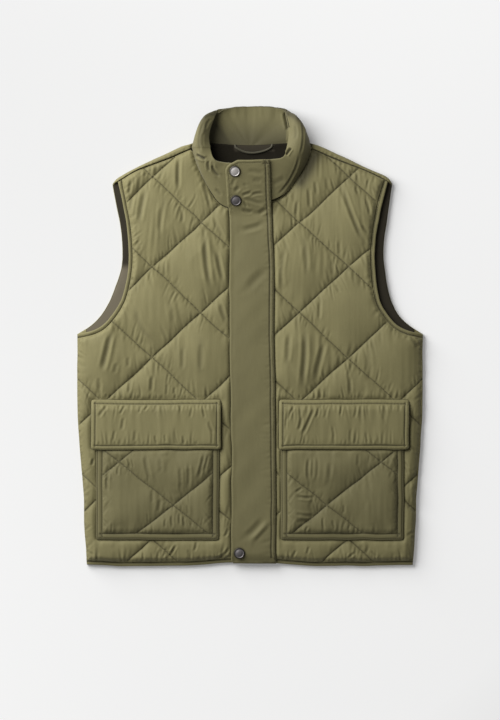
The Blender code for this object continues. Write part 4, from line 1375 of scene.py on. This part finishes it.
def build_front(name, side, table):
    """Padded, diamond-quilted front, flat where the placket and pocket lie on it."""
    node = "front_" + name
    covers = [RINGS["pocket_" + name], RINGS["pocket_flap_" + name]]
    placket = RINGS["placket"]
    slants = [quilt_lines(BODY_QUILT, side, slope, QUILT_SEEDS["front"]) for slope in (1, -1)]

    def shown(points):
        hidden = [inside(points, loop) for loop in [*covers, placket]]
        return inside(points, RINGS[node]) & ~np.any(hidden, axis=0)

    lines = [part for slant in slants for line in slant for part in parts_within(line, shown)]
    joins = [closed(loop) for loop in [*covers, placket]]
    panel = Panel(node, FINE_STEP, [*lines, *joins, *shoulder_lines(side)], [*covers, placket])
    flat = panel.flat
    quilt = diamonds(flat, slants)
    by_pocket = np.min([outside(flat, loop) for loop in covers], axis=0)
    by_placket = outside(flat, placket)
    by_cover = np.minimum(by_pocket, by_placket)
    sewn = panel.edge + np.where(by_placket < BY_PLACKET, EDGE_ROUND, 0.0)
    wall = between(QUILT_PINCH, FRONT_LOFT, quilt)
    wall = between(UNDER_POCKET, wall, swell(by_pocket / PUFF_RAMP))
    wall = between(UNDER_PLACKET, wall, swell(by_placket / PUFF_BY_PLACKET))
    panel.top = panel.low + SEWN_EDGE + (wall - SEWN_EDGE) * swell(sewn / EDGE_ROUND)
    panel.smooth(passes=2)
    panel.crease(table)
    panel.pucker(lines, FRONT_QUILT_PUCKERS, side, fold_lean)
    flap_top = covers[1][covers[1][:, 1] > covers[1][:, 1].max() - FLAP_TOP_EDGE]
    panel.pucker([flap_top, *hem_lines(node)], FRONT_SEAM_PUCKERS, side, fold_lean)
    panel.pucker([closed(panel.ring)], FRONT_EDGE_PUCKERS, side, fold_lean)
    streaks = waved(flat, FRONT_WAVES, side) + waved(fanned(flat, side), FRONT_STREAKS, side)
    panel.relief += streaks * quilt
    panel.settle_relief(ease(by_cover / RELIEF_COVER) * ease(panel.edge / RELIEF_EDGE))
    panel.buckle(lines, [*covers, placket])
    panel.sew(lines)
    # Painted shade in the ditches beside the pieces on it, along its trims and shoulder seam, and the
    # collar's painted shadow
    panel.shade(by_cover)
    trims = [closed(RINGS[trim + name]) for trim in ("armhole_binding_", "hem_band_")]
    panel.shade(gap_to(flat, [*trims, *shoulder_lines(side)]), TRIM_SHADE)
    panel.shade(gap_to(flat, [rows_of(COLLAR_SHADOW_LINE)]), *COLLAR_SHADOW_SPREAD)
    panel.make(node + "_quilted", SHELL)
    return panel, lines


def hem_lines(node):
    """Lower edge of a front, where its hem band is sewn on."""
    ring = RINGS[node]
    low = ring[:, 1].min()
    return parts_within(np.vstack([ring, ring[:3]]), lambda points: points[:, 1] < low + HEM_EDGE, least=12)


def build_pocket(name, side, table):
    """Quilted patch pocket with a double row of stitches round it."""
    node = "pocket_" + name
    flap = RINGS["pocket_flap_" + name]
    slants = [quilt_lines(POCKET_QUILT, side, slope, QUILT_SEEDS["pocket"]) for slope in (1, -1)]
    hem = [closed(inward(RINGS[node], gap)) for gap in POCKET_ROWS]

    def shown(points):
        return inside(points, inward(RINGS[node], POCKET_ROWS[1])) & ~inside(points, flap)

    lines = [part for slant in slants for line in slant for part in parts_within(line, shown)]
    panel = Panel(node, FINE_STEP, [*lines, *hem, closed(flap)], [flap])
    flat = panel.flat
    quilt = diamonds(flat, slants)
    by_flap = outside(flat, flap)
    within = panel.edge - POCKET_ROWS[1]
    wall = between(QUILT_PINCH, POCKET_LOFT, quilt)
    wall = between(POCKET_HEM, wall, swell(within / POCKET_RAMP))
    wall = between(UNDER_FLAP, wall, swell(by_flap / FLAP_RAMP))
    panel.top = panel.low + wall
    height, width = POCKET_ROLL
    panel.roll(height, np.mean(POCKET_ROWS), width)
    panel.smooth(passes=2)
    panel.crease(table)
    panel.pucker(lines, POCKET_QUILT_PUCKERS, side)
    panel.pucker([hem[1]], POCKET_HEM_PUCKERS, side)
    panel.relief += waved(flat, POCKET_WAVES, side) * quilt
    panel.settle_relief(ease(within / RELIEF_EDGE) * ease(by_flap / RELIEF_FLAP))
    panel.buckle([*lines, hem[1]], [flap], POCKET_ROWS[1])
    panel.sew([*lines, *hem], POCKET_GROOVE)
    # Painted shade in the ditch beside the flap
    panel.shade(by_flap)
    panel.make(node + "_quilted", SHADED_SHELL)
    rows = [part for line in hem for part in parts_within(line, lambda points: ~inside(points, flap))]
    return panel, [*lines, *rows]


def build_flap(name, side, table):
    """Pocket flap, puffed a little within its topstitching."""
    node = "pocket_flap_" + name
    row = closed(inward(RINGS[node], FLAP_ROW))
    panel = Panel(node, TRIM_STEP, [row])
    within = panel.edge - FLAP_ROW
    panel.smooth(passes=6)
    height, width = FLAP_PUFF
    panel.top += height * swell(within / width)
    panel.roll(*FLAP_ROLL)
    level = row[:, 1]
    upper = parts_within(row, lambda points: points[:, 1] > level.max() - FLAP_EDGE)
    lower = parts_within(row, lambda points: points[:, 1] < level.min() + FLAP_EDGE)
    panel.crease(table)
    panel.pucker(upper, FLAP_TOP_PUCKERS, side)
    panel.pucker(lower, FLAP_FOOT_PUCKERS, side)
    panel.relief += waved(panel.flat, FLAP_WAVES, side)
    panel.settle_relief(ease(within / RELIEF_EDGE))
    panel.sew([row], FLAP_GROOVE)
    piece = panel.make(node + "_cloth", SHELL)
    return panel, [row]


def run_on_up(line, further):
    """A line that runs on straight past its upper end."""
    line = line if line[-1, 1] > line[0, 1] else line[::-1]
    steps = np.arange(LINE_STEP, further, LINE_STEP)
    return np.vstack([line, line[-1] + steps[:, None] * (0.0, 1.0)])


def placket_rows():
    """Stitch rows of the placket: down its sewn side, round its free corner, and close to its sewn edge."""
    ring = RINGS["placket"]
    foot = ring[:, 1].min() + PLACKET_SEWN_FOOT
    corner_x, corner_y = PLACKET_CORNER
    rows = [closed(inward(ring, gap)) for gap in (PLACKET_ROW, PLACKET_CORNER_ROW, PLACKET_SIDE_ROW)]
    sewn = parts_within(rows[0], lambda points: (points[:, 0] > PLACKET_SEWN_X) & (points[:, 1] > foot))
    corner = parts_within(rows[1], lambda points: (points[:, 0] < corner_x) & (points[:, 1] > corner_y))
    side = parts_within(rows[2], lambda points: points[:, 0] > PLACKET_SIDE_X)
    return [run_on_up(line, PLACKET_ROW - 1.0) for line in sewn], corner, side


def build_placket(table):
    """Plain placket: a double row down its sewn side, and a soft rolled free edge."""
    sewn, corner, side = placket_rows()
    panel = Panel("placket", FINE_STEP, [*sewn, *corner])
    panel.smooth(passes=8)
    panel.crease(table)
    panel.pucker(sewn, PLACKET_PUCKERS)
    panel.relief += waved(panel.flat, PLACKET_WAVES)
    panel.roll(*PLACKET_ROLL)
    panel.settle_relief(ramp(panel.edge, *RELIEF_PLACKET))
    panel.sew(sewn, PLACKET_GROOVE)
    # Painted shade along its inner row
    panel.shade(gap_to(panel.flat, sewn), *PLACKET_ROW_SHADE)
    panel.top -= PLACKET_CORNER_GROOVE * bell(gap_to(panel.flat, corner), GROOVE_WIDTH)
    panel.sew(side, PLACKET_SIDE_GROOVE)
    # Painted shadow round each press stud
    for stud in ("snap_collar", "snap_neck", "snap_hem"):
        middle = seat(stud)[0] / MM
        around = np.linalg.norm(panel.flat - np.array(middle[:2]), axis=1)
        panel.shade(np.maximum(around - STUD_RADIUS, 0.0), STUD_SHADE)
    piece = panel.make("placket_cloth", SHADED_SHELL)
    return panel, [*sewn, *corner, *side]


def build_band(node, panel_node, seed):
    """Binding or hem band with one row of stitches along its panel, puckered a little."""
    edge = [closed(RINGS[panel_node])]
    row = closed(inward(RINGS[node], BAND_ROW))
    inner = parts_within(row, lambda points: gap_to(points, edge) < BAND_REACH)
    panel = Panel(node, TRIM_STEP, inner)
    panel.smooth(passes=3)
    panel.relief += waved(panel.flat, BAND_WAVES, seed)
    panel.settle_relief(ease(panel.edge / RELIEF_BAND))
    panel.sew(inner, *BAND_GROOVE)
    piece = panel.make(node + "_cloth", SHELL)
    return panel, inner


def on_roll(points):
    x, y = ROLL_FROM
    return (points[:, 1] > y) & (np.abs(points[:, 0]) > x)


def build_back():
    """Padded back: a plain face below, and above it the rolls that lie over the shoulders."""
    rolls = parts_within(closed(inward(RINGS["back_panel"], ROLL_MIDDLE)), on_roll)
    seams = [line for side in (-1, 1) for line in shoulder_lines(side)]
    panel = Panel("back_panel", BACK_STEP, [*rolls, *seams])
    over = on_roll(panel.flat)
    for name in ("right", "left"):
        over &= ~inside(panel.flat, RINGS["front_" + name])
    panel.top = np.where(over, panel.top, panel.softened(panel.top, passes=4))
    panel.pucker(seams, SHOULDER_PUCKERS)
    panel.relief += waved(panel.flat, BACK_WAVES)
    panel.settle_relief(ease(panel.edge / RELIEF_EDGE))
    panel.sew(seams, *SHOULDER_GROOVE)
    panel.make("back_panel_padded", SHELL)


def shoulder_lines(side):
    """Shoulder edge of a front, and the seam that runs on from it."""
    x, y = SHOULDER_EDGE
    ring = RINGS["front_right" if side < 0 else "front_left"]
    sewn = parts_within(ring, lambda points: (points[:, 1] > y) & (np.abs(points[:, 0]) > x), least=8)
    return [*sewn, resampled(settled(rows_of(SHOULDER_SEAM) * (side, 1)), LINE_STEP)]


def build_lining():
    """Thin lining with soft loose wrinkles, painted lighter in the armholes and lighter still where light
    reaches the lower part of the right one, and paler behind the hanger loop.
    """
    panel = Panel("back_lining", LINING_STEP)
    x, y = panel.flat.T
    # The tone paints the lining lighter in the armholes, and lighter still where light reaches the lower
    # part of the right one
    panel.tone = np.where(np.abs(x) > ARMHOLE_LINING, ARMHOLE_SHARE, 0.0)
    panel.tone += LIT_LINING_SHARE * ramp(y, *LIT_LINING_UP) * (x < LIT_LINING_X)
    panel.tone += LOOP_SHARE * ramp(y, *LOOP_UP) * (x > LOOP_ENDS[0]) * (x < LOOP_ENDS[1])
    panel.relief += waved(panel.flat, LINING_WAVES)
    panel.settle_relief(ease(panel.edge / RELIEF_LINING))
    piece = panel.make("back_lining_cloth", LINING)


def top_edge(x, y):
    """Furthest Y of the points in each narrow column, at each point's X."""
    columns = np.arange(x.min() + RIM_COLUMN, x.max(), RIM_COLUMN)
    tops = [y[np.abs(x - column) <= RIM_COLUMN].max() for column in columns]
    return np.interp(x, columns, tops)


def collar_shade(spots, normals):
    """Painted shade on the collar: at the neck, in its right corner, along its top edge and right side."""
    x, y, z = spots.T
    facing_up = normals[:, 2] > NECK_FACE
    within = (np.abs(x) < NECK_TONE_X) & (y > NECK_TONE_Y) & facing_up
    neck = np.where(within, between(*NECK_TONE, ramp(y, *NECK_TONE_UP)), 0.0)
    corner = ease((np.interp(y, NECK_CORNER_Y, NECK_CORNER_X) - x) / NECK_CORNER_SOFT)
    deep = (z < NECK_CORNER_LEVEL) & (x > NECK_CORNER_FROM[0]) & (y > NECK_CORNER_FROM[1])
    corner = np.where(deep, NECK_CORNER_SHARE * corner, 0.0)
    width, share = RIM_LINE
    rim = np.maximum(RIM_SHARE * ramp(normals[:, 1], *RIM_TURN), share * bell(top_edge(x, y) - y, width))
    start, middle, end, width, share = COLLAR_HOLLOW
    near, t, across = stroke(spots[:, :2].astype(float), start, middle, end, width)
    hollow = np.zeros(len(spots))
    hollow[near] = share * faded(t, COLLAR_ENDS) * bell(across) * facing_up[near]
    return np.max([neck, corner, rim * ramp(y, *RIM_UP), hollow], axis=0)


def rounded_collar():
    """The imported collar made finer: rounded, but with its sewn and turned edges kept."""
    work = bmesh.new()
    work.from_mesh(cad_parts["collar"].data)
    bmesh.ops.remove_doubles(work, verts=work.verts, dist=MERGED * MM)
    bmesh.ops.join_triangles(work, faces=work.faces, angle_face_threshold=0.7, angle_shape_threshold=3.0)
    kept = work.edges.layers.float.new("crease_edge")
    for edge in work.edges:
        edge[kept] = COLLAR_EDGE if edge.calc_face_angle(0.0) > COLLAR_FOLD else 0.0
    mesh = bpy.data.meshes.new("collar_padded")
    work.to_mesh(mesh)
    work.free()
    piece = linked("collar_padded", mesh)
    bpy.ops.object.select_all(action="DESELECT")
    piece.select_set(True)
    bpy.context.view_layer.objects.active = piece
    round_off = piece.modifiers.new("round", "SUBSURF")
    round_off.levels = round_off.render_levels = 3
    bpy.ops.object.modifier_apply(modifier=round_off.name)
    return piece


def collar_creases(table, flat, normals):
    """How far the collar's points move in its creases, and the shade painted into them."""
    move, tone = np.zeros(len(flat)), np.zeros(len(flat))
    for x0, y0, x1, y1, x2, y2, width, depth in table:
        near, t, across = stroke(flat, (x0, y0), (x1, y1), (x2, y2), width)
        ends = faded(t, COLLAR_ENDS) * (normals[near, 2] > COLLAR_FACE)
        move[near] -= depth * ends * trough(across)
        dark = COLLAR_TONE * max(depth, 0.0) * ends * bell(COLLAR_DARK * across)
        tone[near] = np.maximum(tone[near], dark)
    return move, tone


def build_collar(table):
    """Padded stand collar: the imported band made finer, puffed and creased."""
    piece = rounded_collar()
    mesh = piece.data
    spots, normals = read_points(mesh, "co") / MM, read_points(mesh, "normal")
    x, y, z = spots.T
    flat = spots[:, :2].astype(float)
    # Painted shade in its creases, inside the neck, in its right corner, along its top edge and in its
    # right hollow
    move, tone = collar_creases(table, flat, normals)
    tone = np.maximum(tone, collar_shade(spots, normals))
    around = np.column_stack([np.arctan2(y - COLLAR_MIDDLE, x) * COLLAR_RADIUS, z + y / COLLAR_CLIMB])
    move += waved(around, COLLAR_WAVES)
    move += waved(flat, COLLAR_TOP_WAVES) * ramp(flat[:, 1], *COLLAR_TOP)
    under = inside(flat, inward(RINGS["placket"], COLLAR_KEPT)) & (y < COLLAR_KEPT_Y)
    spots = spots + normals * (move * np.where(under, 0.0, 1.0))[:, None]
    mesh.vertices.foreach_set("co", (spots * MM).astype(np.float32).ravel())
    coat(mesh, SHADED_SHELL, np.minimum(tone, 1.0))
    smooth_faces(mesh)
    carried(piece, ["collar"])


def build_hanger():
    """Rolled tape, swept along its path as a flattened tube with closed ends."""
    path = spline(HANGER, HANGER_PIECES)
    step = unit(np.gradient(path, axis=0))
    across = unit(np.cross(step, (0.0, 0.0, 1.0)))
    upward = np.cross(across, step)
    angles = np.linspace(0, 2 * math.pi, HANGER_SIDES, endpoint=False)
    wide, tall = HANGER_SECTION
    bulge = 1 + HANGER_BULGE * np.cos(2 * angles) ** 2
    rings = [p + np.outer(np.cos(angles) * wide * bulge, a) + np.outer(np.sin(angles) * tall * bulge, u)
             for p, a, u in zip(path, across, upward)]
    verts = np.vstack(rings)
    numbers = list(range(len(verts)))
    faces = [[a, d, c, b] for a, b, c, d in ring_walls(numbers[::HANGER_SIDES], HANGER_SIDES)]
    faces += [numbers[:HANGER_SIDES][::-1], numbers[-HANGER_SIDES:]]
    piece = add_piece("hanger_loop_tape", verts, faces, TAPE, ["hanger_loop"],
                      np.zeros(len(verts)))
    turned_out(piece.data)


def turned_out(mesh):
    work = bmesh.new()
    work.from_mesh(mesh)
    bmesh.ops.recalc_face_normals(work, faces=work.faces)
    work.to_mesh(mesh)
    work.free()


def seat(node):
    """Middle of a press stud's flat back, and the way that its face looks."""
    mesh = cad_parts[node].data
    flat = [face for face in mesh.polygons if face.normal.z < STUD_BACK]
    area = sum(face.area for face in flat)
    middle = sum((face.center * face.area for face in flat), Vector()) / area
    return middle, -sum((face.normal * face.area for face in flat), Vector()).normalized()


def build_stud(node, finish):
    """Press-stud cap: a drum whose face is stepped into a rolled rim, a hollow and a low dome."""
    bpy.ops.object.select_all(action="DESELECT")
    bpy.ops.mesh.primitive_cylinder_add(vertices=48, radius=STUD_RADIUS * MM, depth=STUD_WALL * MM,
                                        location=(0, 0, STUD_WALL * MM / 2))
    piece = bpy.context.active_object
    piece.name = node + "_cap"
    bpy.ops.object.transform_apply(location=True)
    bpy.context.tool_settings.mesh_select_mode = (False, False, True)
    for face in piece.data.polygons:
        face.select = face.normal.z > STUD_TOP
    bpy.ops.object.mode_set(mode="EDIT")
    for gap, rise in STUD_FACE:
        bpy.ops.mesh.inset(thickness=gap * MM)
        bpy.ops.transform.translate(value=(0, 0, rise * MM))
    bpy.ops.object.mode_set(mode="OBJECT")
    soften = piece.modifiers.new("soften", "BEVEL")
    soften.width = 0.22 * MM
    soften.segments = 3
    soften.limit_method = "ANGLE"
    soften.angle_limit = math.radians(25)
    bpy.ops.object.modifier_apply(modifier=soften.name)
    bpy.ops.object.shade_smooth_by_angle(angle=math.radians(35))
    around = np.array([v.co.to_2d().length for v in piece.data.vertices]) / MM
    # The tone paints shade on the rolled rim
    coat(piece.data, finish, ramp(around, STUD_RIM[0], STUD_RIM[1] - STUD_RIM[0]))
    middle, way = seat(node)
    piece.data.transform(Matrix.Translation(middle) @ way.to_track_quat("Z", "Y").to_matrix().to_4x4())
    carried(piece, [node])


def stitch_shape():
    """One stitch along X: rings of a few points between two tips, with its triangles and squares."""
    angles = np.linspace(0, 2 * math.pi, THREAD_SIDES, endpoint=False)
    ring = np.column_stack([np.zeros(THREAD_SIDES), np.cos(angles), np.sin(angles)]) * THREAD_RADIUS
    rings = [ring * (1, share, share) + (x, 0, 0) for x, share in STITCH_RINGS]
    verts = np.vstack([*rings, [(x, 0, 0) for x in STITCH_TIPS]])
    last, tip = (len(STITCH_RINGS) - 1) * THREAD_SIDES, len(STITCH_RINGS) * THREAD_SIDES
    faces = ring_walls(range(0, tip, THREAD_SIDES), THREAD_SIDES)
    pairs = [(i, (i + 1) % THREAD_SIDES) for i in range(THREAD_SIDES)]
    faces += [[j, tip, i] for i, j in pairs]
    faces += [[last + i, tip + 1, last + j] for i, j in pairs]
    return verts, faces


def stitch_at(panel, line, along, place, shape):
    """Points of one stitch, bent to the cloth at its middle and ends, or nothing off the cloth."""
    spots = [point_at(line, along, place + by) for by in (-STITCH / 2, 0.0, STITCH / 2)]
    hits = [panel.tree.ray_cast((x, y, RAY_START), (0, 0, -1))[0] for x, y in spots]
    if None in hits:
        return None
    a, m, b = (np.array(hit) for hit in hits)
    step = (b - a) / np.linalg.norm(b - a)
    across = np.cross((0.0, 0.0, 1.0), step)
    across /= np.linalg.norm(across)
    share = shape[:, :1] * 2
    spine = m + share * (b - a) / 2 + share ** 2 * ((a + b) / 2 - m)
    upward = (shape[:, 2:] + STITCH_OUT * THREAD_RADIUS) * np.cross(step, across)
    return spine + shape[:, 1:2] * across + upward


def sewn_rows(title, runs):
    """Joined stitches along lines on panels."""
    shape, shape_faces = stitch_shape()
    verts = []
    for panel, lines in runs:
        for line in lines:
            along = run_along(line)
            places = np.arange(STITCH_PITCH / 2, along[-1] - STITCH / 2, STITCH_PITCH)
            made = [stitch_at(panel, line, along, place, shape) for place in places]
            verts += [stitch for stitch in made if stitch is not None]
    firsts = range(0, len(verts) * len(shape), len(shape))
    faces = [[first + i for i in face] for first in firsts for face in shape_faces]
    verts = np.vstack(verts)
    piece = add_piece(title, verts, faces, THREAD, [], np.zeros(len(verts)))
    turned_out(piece.data)


def build_vest():
    build_back()
    build_lining()
    build_collar(COLLAR_CREASES)
    quilting, seams = [], []
    for name, side, front_creases, pocket_creases, flap_creases in (
            ("right", -1, RIGHT_FRONT_CREASES, RIGHT_POCKET_CREASES, RIGHT_FLAP_CREASES),
            ("left", 1, LEFT_FRONT_CREASES, LEFT_POCKET_CREASES, LEFT_FLAP_CREASES)):
        front = "front_" + name
        quilting.append(build_front(name, side, front_creases))
        quilting.append(build_pocket(name, side, pocket_creases))
        seams.append(build_flap(name, side, flap_creases))
        for trim, seed in (("armhole_binding_", BINDING_SEED), ("hem_band_", HEM_SEED)):
            seams.append(build_band(trim + name, front, seed + side))
    build_band("hem_band_back", "back_panel", BACK_HEM_SEED)
    seams.append(build_placket(PLACKET_CREASES))
    build_hanger()
    for stud, finish in (("snap_collar", LIT_STEEL), ("snap_neck", STEEL), ("snap_hem", STEEL)):
        build_stud(stud, finish)
    sewn_rows("quilt_stitching", quilting)
    sewn_rows("seam_stitching", seams)


def build_stage():
    """Pale floor, one broad soft light from the upper left, an even sky and the camera overhead."""
    scene = bpy.context.scene
    bpy.ops.object.select_all(action="DESELECT")
    bpy.ops.mesh.primitive_plane_add(size=9.0, location=(0, 0, FLOOR_LEVEL))
    floor = bpy.context.active_object
    floor.name = "floor"
    floor.data.materials.append(paper("pale paper"))
    light = bpy.data.lights.new("key", "AREA")
    light.energy = KEY_POWER
    light.shape = "DISK"
    light.size = KEY_SIZE
    key = linked("key", light)
    key.location = KEY_PLACE
    key.rotation_euler = (-Vector(KEY_PLACE)).to_track_quat("-Z", "Y").to_euler()
    scene.world = bpy.data.worlds.new("even sky")
    scene.world.use_nodes = True
    sky = scene.world.node_tree.nodes["Background"]
    sky.inputs["Strength"].default_value = SKY
    sky.inputs["Color"].default_value = (1.0, 1.0, 1.0, 1.0)
    lens = bpy.data.cameras.new("overhead")
    lens.lens = LENS
    lens.sensor_width = SENSOR
    camera = linked("overhead", lens)
    camera.location = (*PICTURE_CENTRE, PICTURE_TALL * LENS / SENSOR + PICTURE_LEVEL)
    scene.camera = camera
    scene.view_settings.view_transform = "Standard"


build_stage()
build_vest()
